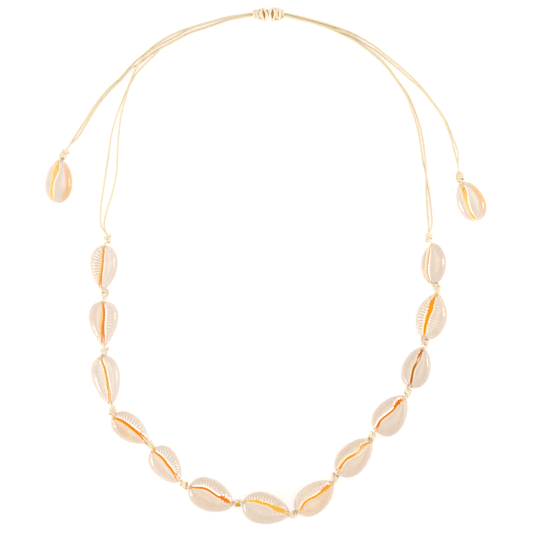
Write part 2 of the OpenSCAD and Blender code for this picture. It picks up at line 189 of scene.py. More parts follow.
def placed(row, points):
    """Points of a shell's own frame, in the choker's frame, in millimetres."""
    p = np.asarray(points, float)
    cos_lean, sin_lean = turned(row.lean)
    cos_turn, sin_turn = turned(row.turn)
    z = p[..., 2] - THREAD_Z
    y = p[..., 1] * cos_lean + z * sin_lean
    up = z * cos_lean - p[..., 1] * sin_lean
    return np.stack([row.x + p[..., 0] * cos_turn - y * sin_turn,
                     row.y + p[..., 0] * sin_turn + y * cos_turn,
                     axis_height(row) + up], -1)


def mouth(row, s, out, up):
    """Where a strand enters (s = -1) or leaves (s = 1) a shell, out mm past its end."""
    x = s * (row.long / 2 + out)
    y = float(slit_at(row, x / (row.long / 2)))
    return placed(row, [x, y, THREAD_Z + up * STRAND_GAP])


print("the strand runs", round(axis_height(SHELL[0]), 1), "mm high in the first shell")

# %% [markdown]
# Each small knot sits on the line from one shell's mouth to the next. The two ends
# of a knot are worked out from its middle, its direction and its length, so that
# the strands meet it there. The first and the last one have the neck's strands on
# one side, which come up from the table.

# %% Knot places
KNOT = [
    [-71.1, 12.1], [-72.3, -12.9], [-72.5, -38.3], [-68.8, -64.6], [-51.8, -80.1],
    [-36.6, -98.2], [-12.5, -106.5], [12.2, -111.7], [31.0, -95.3], [47.7, -76.6],
    [63.7, -56.7], [71.4, -34.5], [76.9, -10.0], [73.2, 12.9],
]
WRAP_PITCH, WRAP_D = 0.85, 0.9
KNOT_WRAPS, TAIL_WRAPS = 3, 5
# From the middle of the first and the last knot to a point on the neck's strands
NECK_BEFORE, NECK_AFTER = (-0.6, 6, 3.2), (0.2, 6, 3.6)


def knot_long(wraps):
    """The length of a knot of so many wraps side by side."""
    return (wraps - 1) * WRAP_PITCH + WRAP_D


def on_neck(k, offset):
    """A point on the neck's strands beside knot k; its height is given outright."""
    return [KNOT[k][0] + offset[0], KNOT[k][1] + offset[1], offset[2]]


def knot_way(k):
    before = on_neck(k, NECK_BEFORE) if k == 0 else mouth(SHELL[k - 1], 1, 0, 0)
    after = on_neck(k, NECK_AFTER) if k == SHELLS else mouth(SHELL[k], -1, 0, 0)
    return unit(np.asarray(after) - np.asarray(before))


def knot_mid(k):
    """A knot's middle, as high as the strand in the shells beside it."""
    heights = [axis_height(SHELL[j]) for j in (k - 1, k) if 0 <= j < SHELLS]
    return np.array([*KNOT[k], sum(heights) / len(heights)])


def knot_end(k, s, up):
    """Where the upper (up = 1) or lower strand meets a knot's end (s = -1 or 1)."""
    reach = knot_long(KNOT_WRAPS) / 2
    return knot_mid(k) + knot_way(k) * s * reach + [0, 0, up * STRAND_GAP]


print("first knot", knot_mid(0).round(1), "last knot", knot_mid(SHELLS).round(1))

# %% [markdown]
# The free strands are a fixed length of limp cord that lies on the table. Their
# routes are lists of points along the real cord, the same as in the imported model:
# up the neck, and down the other side's tail. A point with no height of its own
# rests on the table, and the others are where strands climb over each other or up
# to a knot. A bezier curve could be drawn by hand, but its handles would be more
# numbers than these points, and harder to compare with the real cord.

# %% Routes of the free strands
NECK_LEFT = [
    [[-73.8, 17.7, 1.9], [-74.2, 25.8], [-73.2, 33], [-71.8, 42], [-70.5, 51], [-69.4, 59.1],
     [-67.2, 67.2], [-64.5, 74.4], [-61.8, 80.7], [-59.3, 86.6, 0.6], [-57.1, 90.9, 1.35],
     [-54.7, 94, 1.25], [-52.5, 96.2, 1.2], [-49.6, 98.3, 0.9], [-44.6, 101.1, 0.5],
     [-39.2, 103.9, 0.6], [-33.8, 106.8, 1.25], [-28.4, 108.6, 1.25], [-23, 110.2, 1.25],
     [-17.6, 111.6, 1.25], [-12.2, 112.5, 1.75]],
    [[-72.6, 17.7, 1], [-71.1, 25.8], [-68.9, 33], [-67.1, 42], [-66.6, 51], [-66.1, 59.1],
     [-64.9, 68.1], [-63.1, 75.3, 1.1], [-61, 81.3, 1.15], [-58.3, 86.2, 0.6], [-55.4, 89.5],
     [-53, 91.9], [-50, 94.9, 0.65], [-47.3, 97.7, 1.3], [-44.6, 99.2, 1.25],
     [-39.2, 102.1, 1.25], [-33.8, 104.8, 1.25], [-28.4, 106.6, 1.25], [-23, 108.4, 1.25],
     [-17.6, 110.3, 1.25], [-12.2, 111.6, 1.75]],
]
NECK_RIGHT = [
    [[74.6, 18.4, 2.8], [74.3, 25.8], [73.4, 33], [72.2, 40.2], [70.7, 47.4], [69.6, 54.6],
     [68.3, 61.8], [66.2, 69, 0.9], [63.5, 76.2, 1.2], [59.2, 83, 1.2], [53.7, 90.2, 1.2],
     [48.6, 95, 1.2], [43.4, 99, 1.2], [39, 102, 1.2], [35.4, 103.7, 1], [31.8, 105.5, 0.45],
     [27.3, 107.4], [19.2, 110], [12.7, 111.5, 0.8]],
    [[73.2, 18.8, 1], [72.6, 25.8], [72.2, 33, 0.85], [72.2, 40.2, 1.35], [71.8, 47.4, 0.85],
     [71.1, 54.6], [69.7, 61.8], [67.4, 69], [64.3, 76.2], [59.5, 83.3], [54, 90.5],
     [48.9, 95.3], [43.6, 99.3], [39.1, 102.5], [35.4, 104.5], [31.9, 106.5], [27.4, 108.3],
     [19.3, 110.9], [12.7, 112.5, 0.8]],
]
TAIL_LEFT = [
    [[-12.2, 111.6, 0.85], [-17.6, 110.5], [-23, 108.6], [-28.4, 106.8], [-33.8, 105],
     [-39.2, 102.3], [-44.7, 99.4], [-50.1, 96.3], [-52.7, 94.3], [-55.4, 92.2],
     [-57.9, 90.3], [-60.6, 88.7, 1.1], [-64.8, 84, 1.15], [-69.3, 79.6, 0.5], [-75, 72.9],
     [-79.9, 65.2], [-84.5, 57.8], [-88.3, 53.8, 3.65]],
    [[-12.2, 112.6, 0.85], [-17.6, 111.8], [-23, 110.3], [-28.4, 108.8], [-33.8, 107.1],
     [-39.2, 105.3], [-44.6, 102.7], [-50, 99.2], [-52.7, 96.9], [-55.4, 94.6],
     [-58.1, 92.4], [-61.1, 89.4], [-65.3, 84.6], [-70.5, 79.9], [-76.3, 72.9],
     [-81.3, 65.2], [-86.1, 57.8], [-88.3, 53.8, 2.75]],
]
TAIL_RIGHT = [
    [[12.7, 112.6, 2], [19.3, 111, 1.25], [27.4, 108.8, 1.25], [32.3, 107.2, 0.85],
     [38.2, 105], [43.6, 102.2], [49, 98.9], [54.4, 94.6], [59.8, 90.3], [65.2, 85.5],
     [70.3, 80.1], [76.2, 72.6], [81, 65.4], [84, 58.2], [86.4, 51, 1.2], [86.4, 45, 3.65]],
    [[12.7, 111.6, 2], [19.2, 110.1, 1.25], [27.4, 107.7, 1.2], [32.3, 105.8, 1.4],
     [38.2, 103.9, 1.1], [43.6, 100.5, 0.5], [49, 97.2], [54.4, 93], [59.8, 88.6],
     [64.8, 84.1], [69.8, 79.6, 1.1], [75.7, 72.3, 1.15], [80.4, 65.2, 1.1], [83.1, 58],
     [85, 51, 0.5], [86.4, 45, 2.75]],
]
print("points up the neck and down the tails:",
      sum(len(strand) for pair in (NECK_LEFT, NECK_RIGHT, TAIL_LEFT, TAIL_RIGHT)
          for strand in pair))

# %% [markdown]
# Each strand's whole route starts at the end of the shell strand. It takes the neck's
# points, passes the outer faces of both sliding knots, follows the other side's tail
# and goes through the tail knot into the shell, up to the stop knot that holds it.

# %% Ends of the free strands
SLIDE_KNOT = [[-2, 113], [4.7, 113]]
SLIDE_WRAP_D, SLIDE_WRAP_R, SLIDE_PITCH = 2.16, 2.1, 2.15
SLIDE_CLEAR = 0.3
SLIDE_OFFSET = 0.42
SLIDE_Z = SLIDE_WRAP_R + SLIDE_WRAP_D / 2
TAIL_GAP, END_GAP = 0.5, 0.3
MOUTH_OUT, SLIT_END = 0.1, 2
STOP_R, STOP_IN, STOP_Z = 0.95, 1.2, 3.2


def on_table(route):
    """Points of a route, with the cord's own height where none is given."""
    return [[*point, CORD_D / 2][:3] for point in route]


def tail_row(side):
    """The row of a tail shell. Side 0 is the left tail and 1 the right one."""
    return SHELL[LEFT if side == 0 else RIGHT]


def tail_way(side):
    """The direction of a tail knot, from its two strands to its shell's mouth."""
    ends = (TAIL_LEFT if side == 0 else TAIL_RIGHT)
    middle = (np.array(ends[0][-1]) + np.array(ends[1][-1])) / 2
    return unit(mouth(tail_row(side), 1, MOUTH_OUT, 0) - middle)


def tail_mid(side):
    reach = knot_long(TAIL_WRAPS) / 2 + TAIL_GAP
    return mouth(tail_row(side), 1, MOUTH_OUT, 0) - tail_way(side) * reach


def inside_tail(side, x, up):
    """A point under the slit of a tail shell, x along it."""
    row = tail_row(side)
    return placed(row, [x, float(slit_at(row, x / (row.long / 2))),
                        STOP_Z + up * STRAND_GAP])


def stop_x(side):
    """How far along its shell a stop knot's middle lies."""
    return tail_row(side).long / 2 - SLIT_END - STOP_R - STOP_IN


def slide_face(side, y, z):
    """Where a strand passes the outer face of a sliding knot."""
    reach = SLIDE_PITCH + SLIDE_WRAP_D / 2 + SLIDE_CLEAR
    x = SLIDE_KNOT[side][0] + (-reach if side == 0 else reach)
    return [x, SLIDE_KNOT[side][1] + y * SLIDE_OFFSET, SLIDE_Z + z * SLIDE_OFFSET]


def cord_route(left, k):
    """The whole route of strand k of the left or the right pair."""
    up = 1 - 2 * k
    first, sign, side = (0, 1, 1) if left else (SHELLS, -1, 0)
    neck, tail = (NECK_LEFT, TAIL_RIGHT) if left else (NECK_RIGHT, TAIL_LEFT)
    start = knot_end(first, -sign, up) - knot_way(first) * sign * END_GAP
    faces = [slide_face(knot, sign * up, sign) for knot in (0, 1)[::sign]]
    row = tail_row(side)
    return [start, *on_table(neck[k]), *faces, *on_table(tail[k]),
            mouth(row, 1, MOUTH_OUT, up), mouth(row, 1, -SLIT_END, up),
            inside_tail(side, stop_x(side) + STOP_R + END_GAP, up)]


CORD_ROUTES = {"cord_left_a": cord_route(True, 0), "cord_left_b": cord_route(True, 1),
               "cord_right_a": cord_route(False, 0), "cord_right_b": cord_route(False, 1)}
print({name: len(route) for name, route in CORD_ROUTES.items()}, "points")

# %% [markdown]
# A limp cord bends smoothly, so each route is drawn through its points as a smooth
# curve. A centripetal curve is used, because it neither overshoots nor makes a loop
# where points lie close together. Then it is cut into even steps, so that the twist
# of the cord comes out even too.

# %% Smooth curves
RING_STEP = 0.36
CURVE_STEPS = 24
SAME_POINT = 0.05


def along_path(path):
    """How far along a path each of its points is."""
    return np.concatenate([[0], np.cumsum(np.linalg.norm(np.diff(path, axis=0), axis=1))])


def smooth_path(points, step=RING_STEP):
    """Even points along a centripetal curve through the given points."""
    p = np.asarray([q for i, q in enumerate(points) if i == 0
                    or np.linalg.norm(np.subtract(q, points[i - 1])) > SAME_POINT], float)
    p = np.vstack([2 * p[0] - p[1], p, 2 * p[-1] - p[-2]])
    fine = []
    for a, b, c, d in zip(p, p[1:], p[2:], p[3:]):
        t1, t2, t3 = np.cumsum([np.linalg.norm(v) ** 0.5 for v in (b - a, c - b, d - c)])
        t = np.linspace(t1, t2, CURVE_STEPS, endpoint=False)[:, None]
        ab = (t1 - t) / t1 * a + t / t1 * b
        bc = (t2 - t) / (t2 - t1) * b + (t - t1) / (t2 - t1) * c
        cd = (t3 - t) / (t3 - t2) * c + (t - t2) / (t3 - t2) * d
        near = (t2 - t) / t2 * ab + t / t2 * bc
        far = (t3 - t) / (t3 - t1) * bc + (t - t1) / (t3 - t1) * cd
        fine.append((t2 - t) / (t2 - t1) * near + (t - t1) / (t2 - t1) * far)
    fine = np.vstack([*fine, p[-2]])
    along = along_path(fine)
    count = max(2, round(along[-1] / step))
    even = np.linspace(0, along[-1], count + 1)
    return np.stack([np.interp(even, along, fine[:, i]) for i in range(3)], 1)


def path_length(path):
    return float(np.linalg.norm(np.diff(path, axis=0), axis=1).sum())


def smooth_step(value, low, high):
    """From 0 at low to 1 at high, with no corner at either end."""
    t = np.clip((np.asarray(value, float) - low) / (high - low), 0, 1)
    return t * t * (3 - 2 * t)


print("a ring every", RING_STEP, "mm")

# %% [markdown]
# A waxed cord is three plies laid round each other. A plain round tube with a bump
# would look right from afar, but its edge would be smooth up close. So the section
# of the tube has three lobes, and the section turns as it goes along the route. Two
# masks go with the points: how high on a ply each lies, and how far it faces out.

# %% Swept tubes
PLIES = 3
PLY_TURN = 3.4
LOBE_DEPTH, LOBE_LEVEL = 0.05, 0.35
CORD_SIDES, KNOT_SIDES = 12, 10
# A path that starts this nearly upright takes its first side from Y instead of Z
UPRIGHT = 0.1
TINY = 1e-6


def swept_frames(path):
    """The way of the path and two directions across it that never spin, at each point."""
    way = np.gradient(path, axis=0)
    way /= np.linalg.norm(way, axis=1)[:, None]
    side = np.cross(way[0], [0, 0, 1.0])
    if np.linalg.norm(side) < UPRIGHT:
        side = np.cross(way[0], [0, 1.0, 0])
    sides = [unit(side)]
    for w in way[1:]:
        sides.append(unit(sides[-1] - w * np.dot(sides[-1], w)))
    sides = np.array(sides)
    return way, sides, np.cross(way, sides)


def ring_faces(rings, sides, closed=False):
    """Quads between rings of points, with a cap at each end unless they close up."""
    grid = np.arange(rings * sides).reshape(rings, sides)
    grid = np.vstack([grid, grid[:1]]) if closed else grid
    nxt = np.roll(grid, -1, axis=1)
    quads = np.stack([grid[:-1], grid[1:], nxt[1:], nxt[:-1]], -1).reshape(-1, 4).tolist()
    return quads if closed else quads + [grid[0].tolist(), grid[-1][::-1].tolist()]


def tube(path, radius, out_from=None, sides=CORD_SIDES):
    """Points, faces and masks of a three-ply strand along a path, in millimetres.
    out_from gives a point inside the knot for each point of the path. The crest mask
    is 1 where the surface faces away from it, or up where there is none."""
    _, a, b = swept_frames(path)
    angle = np.linspace(0, 2 * np.pi, sides, endpoint=False)
    twist = along_path(path)[:, None] * 2 * np.pi / PLY_TURN
    lobe = np.cos(PLIES * (angle[None, :] - twist))
    r = radius * (1 + LOBE_DEPTH * (lobe - LOBE_LEVEL))
    normal = a[:, None] * np.cos(angle)[:, None] + b[:, None] * np.sin(angle)[:, None]
    points = path[:, None] + normal * r[..., None]
    out = np.array([0, 0, 1.0]) if out_from is None else path - out_from
    out = np.broadcast_to(out, path.shape)
    out = out / np.maximum(TINY, np.linalg.norm(out, axis=1))[:, None]
    crest = np.einsum("ijk,ik->ij", normal, out)
    masks = {"crest": crest.ravel(), "ply": lobe.ravel()}
    return points.reshape(-1, 3), ring_faces(len(path), sides), masks


def joined(parts):
    """Several tubes as one list of points, faces and masks."""
    points, faces, masks, base = [], [], {}, 0
    for p, f, m in parts:
        points.append(p)
        faces += [[i + base for i in face] for face in f]
        base += len(p)
        for name, values in m.items():
            masks.setdefault(name, []).append(values)
    return np.vstack(points), faces, {name: np.concatenate(v) for name, v in masks.items()}


print("a tube has", CORD_SIDES, "sides, and", KNOT_SIDES, "in the small knots")

# %% [markdown]
# Every piece is made in one place: a mesh from millimetre points, with its masks as
# attributes that the materials can read. It rides the body of the imported model, gets
# its material, and hides the imported piece whose place it takes.

# %% Pieces on their nodes
def piece(name, geometry, material, slot, *nodes):
    """A mesh object with its masks, on its node."""
    points, faces, masks = geometry
    mesh = bpy.data.meshes.new(name)
    mesh.from_pydata((np.asarray(points) * MM).tolist(), [], faces)
    mesh.validate()
    for label, values in masks.items():
        is_color = np.ndim(values) == 2
        attribute = mesh.attributes.new(label, "FLOAT_COLOR" if is_color else "FLOAT", "POINT")
        attribute.data.foreach_set("color" if is_color else "value",
                                   np.ravel(values).astype(np.float32))
    mesh.shade_smooth()
    mesh.materials.append(material)
    obj = in_scene(bpy.data.objects.new(name, mesh))
    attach(obj, BODY)
    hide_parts(*nodes)
    return obj


print("pieces ride on", BODY)

# %% [markdown]
# Materials are built from a few kinds of node: a mix of two colours, a value moved
# from one range to another, a product, and a mask that is read from the mesh. Small
# helpers place them, so that each material below reads like a list of its layers.

# %% Node helpers
NODES_IN_ROW, NODE_WIDE, NODE_HIGH = 8, 220, 180


def new_node(tree, kind, **values):
    """A node of one kind, with its own settings, at the next free place."""
    n = tree.nodes.new(kind)
    row, column = divmod(len(tree.nodes), NODES_IN_ROW)
    n.location = (NODE_WIDE * column, -NODE_HIGH * row)
    for name, value in values.items():
        setattr(n, name, value)
    return n


def feed(tree, sockets, values):
    """Feed each named socket: link another node's socket into it, or set its value."""
    for name, value in values.items():
        if isinstance(value, bpy.types.NodeSocket):
            tree.links.new(value, sockets[name])
        else:
            sockets[name].default_value = value


def mix_colors(tree, factor, first, second):
    """A colour mix. Each input is a socket or a plain value."""
    n = new_node(tree, "ShaderNodeMix", data_type="RGBA")
    feed(tree, n.inputs, {0: factor, 6: first, 7: second})
    return n.outputs[2]


def ramped(tree, value, low, high, to_low=0.0, to_high=1.0):
    """A value remapped from one range to another, smooth at both ends."""
    n = new_node(tree, "ShaderNodeMapRange", interpolation_type="SMOOTHSTEP")
    feed(tree, n.inputs, {"Value": value, "From Min": low, "From Max": high,
                          "To Min": to_low, "To Max": to_high})
    return n.outputs["Result"]


def product(tree, first, second):
    n = new_node(tree, "ShaderNodeMath", operation="MULTIPLY")
    feed(tree, n.inputs, {0: first, 1: second})
    return n.outputs[0]


def mask(tree, name):
    """A mask that the mesh carries on its points."""
    return new_node(tree, "ShaderNodeAttribute", attribute_name=name).outputs["Fac"]


def glow_color(tree):
    """The colour of the light inside the shell that a point belongs to."""
    return new_node(tree, "ShaderNodeAttribute", attribute_name="glow").outputs["Color"]


print("nodes stand", NODES_IN_ROW, "to a row")

# %% [markdown]
# Every material here is one Principled shader. Its constant values are set on the
# shader's own sockets, and only what changes over the surface comes from nodes. Two
# more helpers make such a material and feed its normal from a height. Colours are
# given as they look on screen, and turned into the linear light that nodes reckon in.

# %% Material helpers
def new_material(name, roughness):
    """A material with its Principled shader, its node tree and that shader's inputs."""
    material = bpy.data.materials.new(name)
    material.use_nodes = True
    tree = material.node_tree
    shader = tree.nodes["Principled BSDF"]
    shader.inputs["Roughness"].default_value = roughness
    return material, tree, shader.inputs


def bumped(tree, inputs, height, strength, distance):
    """Feed the shader's normal from a height."""
    n = new_node(tree, "ShaderNodeBump")
    feed(tree, n.inputs, {"Strength": strength, "Distance": distance, "Height": height})
    tree.links.new(n.outputs["Normal"], inputs["Normal"])


def color(red, green, blue):
    """A colour as seen on screen, 0 to 255, as the linear values that nodes take."""
    values = [c / 255 for c in (red, green, blue)]
    return [*(c / 12.92 if c < 0.04 else ((c + 0.055) / 1.055) ** 2.4 for c in values), 1.0]


print("middle grey on screen is", round(color(128, 128, 128)[0], 3), "in a node")

# %% [markdown]
# The same fine mottle shows in the shell's glaze and in the wax on the cord, at
# different scales. A painted texture could give it, but would need every mesh to be
# unwrapped. So it is a noise in the object's own coordinates, in a node group with its
# own inputs that both materials use. It puts out slow clouds and fine specks.

# %% Mottle group
MOTTLE_DETAIL = 3.0
MOTTLE_LOW, MOTTLE_HIGH = 0.3, 0.7


def mottle_group():
    """Slow clouds and fine specks over the object's own coordinates."""
    group = bpy.data.node_groups.new("mottle", "ShaderNodeTree")
    for name in ("Cloud Scale", "Speck Scale"):
        group.interface.new_socket(name, in_out="INPUT", socket_type="NodeSocketFloat")
    for name in ("Clouds", "Specks"):
        group.interface.new_socket(name, in_out="OUTPUT", socket_type="NodeSocketFloat")
    inside = new_node(group, "NodeGroupInput")
    outside = new_node(group, "NodeGroupOutput")
    place = new_node(group, "ShaderNodeTexCoord").outputs["Object"]
    for index, name in enumerate(("Clouds", "Specks")):
        noise = new_node(group, "ShaderNodeTexNoise")
        feed(group, noise.inputs, {"Detail": MOTTLE_DETAIL, "Vector": place,
                                   "Scale": inside.outputs[index]})
        level = ramped(group, noise.outputs["Fac"], MOTTLE_LOW, MOTTLE_HIGH)
        group.links.new(level, outside.inputs[name])
    return group


MOTTLE = mottle_group()


def mottle(tree, cloud_scale, speck_scale):
    """The group placed in a material, with that material's own scales."""
    n = new_node(tree, "ShaderNodeGroup", node_tree=MOTTLE)
    feed(tree, n.inputs, {"Cloud Scale": cloud_scale, "Speck Scale": speck_scale})
    return n.outputs["Clouds"], n.outputs["Specks"]


print("group", MOTTLE.name, [item.name for item in MOTTLE.interface.items_tree])

# %% [markdown]
# Waxed cord is ivory where the light meets it and turns straw and then golden brown
# in the creases, where the wax gathers and one strand shades the next. One painted
# colour would look flat, so the masks on the mesh lay the colours. The crest mask says
# how far out a point of the strand faces, or how far up on a free strand, so creases
# and undersides get painted shade from the shape, and the ply mask paints shade in the
# furrows between the plies. The wax mask says how golden that painted shade is and, on
# the free strands, how much honey-coloured wax is on the outside too. A third mask lays
# brown spots, and on the sliding knots painted shade between the wraps. A cord that
# goes into a shell takes on that shell's light, as far as its sunk mask says. A little
# light of its own stands for the light that comes through the thin cord from below.

# %% Cord materials
IVORY = color(255, 248, 234)
CREAM = color(251, 239, 218)
STRAW = color(244, 224, 190)
GOLDEN = color(214, 150, 62)
HONEY = color(236, 223, 186)
TAN = color(220, 196, 142)
PATCH_BROWN = color(222, 168, 30)
LIT_CORD = color(255, 212, 150)
FREE_LIGHT, KNOT_LIGHT = 0.02, 0.06
LOOSE_CREASE, TIGHT_CREASE = (-0.3, 0.55), (-0.35, 0.5)
PLY_FURROW, PLY_CREST = -1.0, 0.6
CORD_CLOUDS, CORD_SPECKS = 260.0, 2600.0
CORD_ROUGH, CORD_BUMP = (0.42, 0.62), (0.35, 0.05 * MM)
CORD_SCATTER = {"Sheen Weight": 0.15, "Subsurface Weight": 0.4,
                "Subsurface Scale": 0.9 * MM, "Subsurface Radius": (1.0, 0.85, 0.6)}


def cord_material(name, crease, light, in_shell=False, waxed_outside=False):
    """Waxed cord. Over the range crease, the crest mask goes from painted crease shade to the
    lit side.
    """
    material, tree, inputs = new_material(name, 0.55)
    clouds, specks = mottle(tree, CORD_CLOUDS, CORD_SPECKS)
    wax_and_shade, ply = mask(tree, "wax_and_shade"), ramped(tree, mask(tree, "ply"), PLY_FURROW, PLY_CREST)
    # Straw in the furrows between the plies is painted shade
    outer = mix_colors(tree, ply, STRAW, mix_colors(tree, clouds, IVORY, CREAM))
    if waxed_outside:
        outer = mix_colors(tree, wax_and_shade, outer, mix_colors(tree, ply, TAN, HONEY))
    # Painted shade: creases, and undersides of free strands, turn straw to golden as the wax
    # mask says
    lit_side = ramped(tree, mask(tree, "crest"), *crease)
    shade = mix_colors(tree, lit_side, mix_colors(tree, wax_and_shade, STRAW, GOLDEN), outer)
    # Brown spots, and on the sliding knots brown painted shade between the wraps
    shade = mix_colors(tree, mask(tree, "brown_patch"), shade, PATCH_BROWN)
    lit = LIT_CORD
    if in_shell:
        sunk, glow = mask(tree, "sunk"), glow_color(tree)
        shade = mix_colors(tree, sunk, shade, glow)
        lit = mix_colors(tree, sunk, LIT_CORD, glow)
    feed(tree, inputs, {"Base Color": shade, "Emission Color": lit,
                        "Emission Strength": light, **CORD_SCATTER,
                        "Roughness": ramped(tree, specks, 0.0, 1.0, *CORD_ROUGH)})
    bumped(tree, inputs, specks, *CORD_BUMP)
    return material


free_cord = cord_material("waxed_cord", LOOSE_CREASE, FREE_LIGHT, True, True)
knotted_cord = cord_material("waxed_cord_in_knots", TIGHT_CREASE, KNOT_LIGHT)
shell_cord = cord_material("waxed_cord_in_shells", LOOSE_CREASE, KNOT_LIGHT, True)
print("cord materials", free_cord.name, knotted_cord.name, shell_cord.name)

# %% [markdown]
# No two cowries are alike. This table gives each shell its looks: half the width of
# its slit at five even places, how strong the ribs, the white lip with its painted
# highlight and the warm tint are on its left and on its right side, and how dark the
# whole shell is. A lip below zero lets the slit's painted orange light spread onto the
# shell instead. The colour is what glows inside the slit. A second table notches the
# slit where teeth stand far apart.
# One random number a shell could vary all this, but would match no real shell.

# %% How each shell looks
Look = namedtuple("Look", "gap ribs lip warm tone glow")
#    half the slit's width at 5 places  ribs L  R   lip L  R  warm L  R  tone  glow inside
LOOK_TABLE = [
    [0.46, 0.38, 0.38, 0.56, 0.90,  0.1, 1.0,   0.5, -0.4,  0.10, 0.35,  0.00, (242, 208, 138)],
    [0.44, 0.46, 0.52, 0.72, 0.90,  0.7, 0.1,   0.9, -1.2,  0.15, 0.50,  0.05, (240, 192, 116)],
    [0.34, 0.44, 0.40, 0.58, 0.80,  0.2, 0.2,   0.6,  0.5,  0.10, 0.25,  0.15, (245, 216, 140)],
    [0.50, 0.54, 0.54, 0.60, 0.95,  1.0, 0.2,   0.8,  0.3,  0.50, 1.00,  0.10, (245, 189, 50)],
    [0.42, 0.40, 0.42, 0.48, 0.95,  1.0, 0.0,   0.9,  0.2,  0.35, 0.55,  0.25, (243, 192, 74)],
    [0.36, 0.38, 0.34, 0.36, 0.45,  0.7, 0.3,   1.0,  0.4,  0.60, 0.85,  0.40, (242, 184, 46)],
    [0.24, 0.34, 0.50, 0.70, 0.55,  0.8, 0.4,  0.15,  0.3,  1.00, 0.40,  0.55, (246, 222, 134)],
    [0.75, 0.32, 0.32, 0.36, 0.40,  0.6, 0.4,   0.7,  0.1,  0.60, 1.00,  0.00, (244, 208, 80)],
    [0.85, 0.38, 0.44, 0.50, 0.45,  0.4, 0.3,   0.6,  0.6,  0.90, 0.80,  0.40, (243, 204, 66)],
    [0.90, 0.34, 0.28, 0.32, 0.40,  0.5, 0.3,   1.0,  0.3,  0.60, 0.55,  0.60, (240, 175, 0)],
    [0.60, 0.36, 0.38, 0.55, 0.50,  0.3, 0.2,   0.4,  0.5,  0.30, 0.30,  0.80, (216, 154, 62)],
    [0.42, 0.50, 0.68, 0.86, 0.25,  1.0, 0.5,   0.6,  0.4,  0.40, 0.50,  0.20, (246, 203, 40)],
    [0.26, 0.22, 0.22, 0.22, 0.26,  0.4, 0.2,   0.5,  1.0,  0.80, 0.40,  0.40, (242, 220, 170)],
    [0.75, 0.38, 0.44, 1.15, 0.75,  0.3, 0.1,   0.2,  0.7,  0.15, 0.25,  0.10, (246, 230, 170)],
    [0.80, 0.32, 0.42, 1.00, 0.60,  0.3, 0.1,   0.2,  0.7,  0.10, 0.25,  0.10, (246, 230, 170)],
]
LOOK = [Look(row[:5], row[5:7], row[7:9], row[9:11], *row[11:]) for row in LOOK_TABLE]
# shell: the gaps between teeth on its left, then on its right, each with its place
# along the shell and how deep it is
NOTCHES = {
    3: ([(0.5, 0.6), (0.64, 1.1), (0.78, 1.2)], [(0.7, 0.7)]),
    4: ([(0.62, 0.7)], [(0.72, 0.8)]),
    5: ([(0.4, 1.1), (0.5, 2.0), (0.61, 1.6), (0.71, 2.0), (0.8, 1.1)],
        [(0.47, 0.7), (0.58, 1.2), (0.69, 1.0), (0.8, 1.7)]),
    6: ([(-0.4, 0.6), (-0.28, 0.5), (0.3, 0.6), (0.42, 0.8), (0.54, 1.0), (0.66, 0.8)],
        [(0.34, 0.8), (0.46, 1.2), (0.58, 1.1), (0.7, 1.3), (0.82, 1.5)]),
    7: ([(0.42, 1.0), (0.52, 1.9), (0.62, 1.5), (0.72, 1.8)],
        [(0.56, 0.7), (0.68, 1.2), (0.8, 1.6), (0.92, 1.4)]),
    8: ([(0.5, 1.0), (0.62, 1.3), (0.74, 1.0)], []),
    9: ([(0.38, 1.2), (0.48, 2.2), (0.58, 1.9), (0.68, 2.4), (0.78, 1.5)],
        [(0.6, 0.6), (0.76, 1.2)]),
    10: ([(0.5, 0.5), (0.62, 0.6)], []),
    11: ([(0.2, 0.5), (0.34, 0.6), (0.48, 0.5), (0.62, 0.6)], []),
}
NO_NOTCHES = ([], [])
NOTCH_HALF = 0.58
RIB_PITCH = 1.05
TOOTH = 0.12
SLIT_TIP = 0.9
TIP_POWER = 8


def of_side(pair, side):
    """The left value of a pair for side 1, the right one for side -1."""
    return pair[0] if side > 0 else pair[1]


def half_gap(k, x, side):
    """Half the slit's width on one side, with its teeth and notches, at x."""
    look, half = LOOK[k], SHELL[k].long / 2
    wave = np.cos(x * 2 * np.pi / RIB_PITCH)
    width = even_points(look.gap, x / half)
    gap = width - TOOTH * of_side(look.ribs, side) * np.maximum(0, wave)
    for place, depth in of_side(NOTCHES.get(k, NO_NOTCHES), side):
        away = np.abs(x - place * half) / NOTCH_HALF
        gap = np.maximum(gap, width + depth * (1 - away))
    return gap * np.sqrt(np.maximum(0, 1 - np.abs(x / (half - SLIT_TIP)) ** TIP_POWER))


print("tightest slit", min(min(look.gap) for look in LOOK), "mm to a side")

# %% [markdown]
# The four free strands are made first, because they settle how much room the
# choker takes. Older wax has left them honey-coloured, most of all near the sliding
# knots, and clean beside the tail shells. Their ends go into those shells, and there
# they take on the light of the slit, as everything in it does.

# %% Free strands
# How much wax a strand has at least, and how high on the neck more of it starts
FREE_WAX = {"left": (0.42, 80), "right": (0.55, 30)}
FULL_WAX, FULL_WAX_Y = 0.8, 108
CLEAN_UP_TO, WAXED_FROM = 12, 20
TAIL_LIGHT_FROM, TAIL_LIGHT_TO = 0.86, 0.96
cord_paths = {name: smooth_path(route) for name, route in CORD_ROUTES.items()}
for path in cord_paths.values():
    path[:, 2] = np.maximum(path[:, 2], CORD_D / 2 * (1 + LOBE_DEPTH))


def in_tail_shell(points, side):
    """One for points inside a tail shell, none outside, and that shell's glow."""
    row = tail_row(side)
    away = np.linalg.norm(points[:, :2] - row[:2], axis=1) / (row.long / 2)
    glow = np.tile(color(*LOOK[LEFT + side].glow), (len(points), 1))
    return 1 - smooth_step(away, TAIL_LIGHT_FROM, TAIL_LIGHT_TO), glow


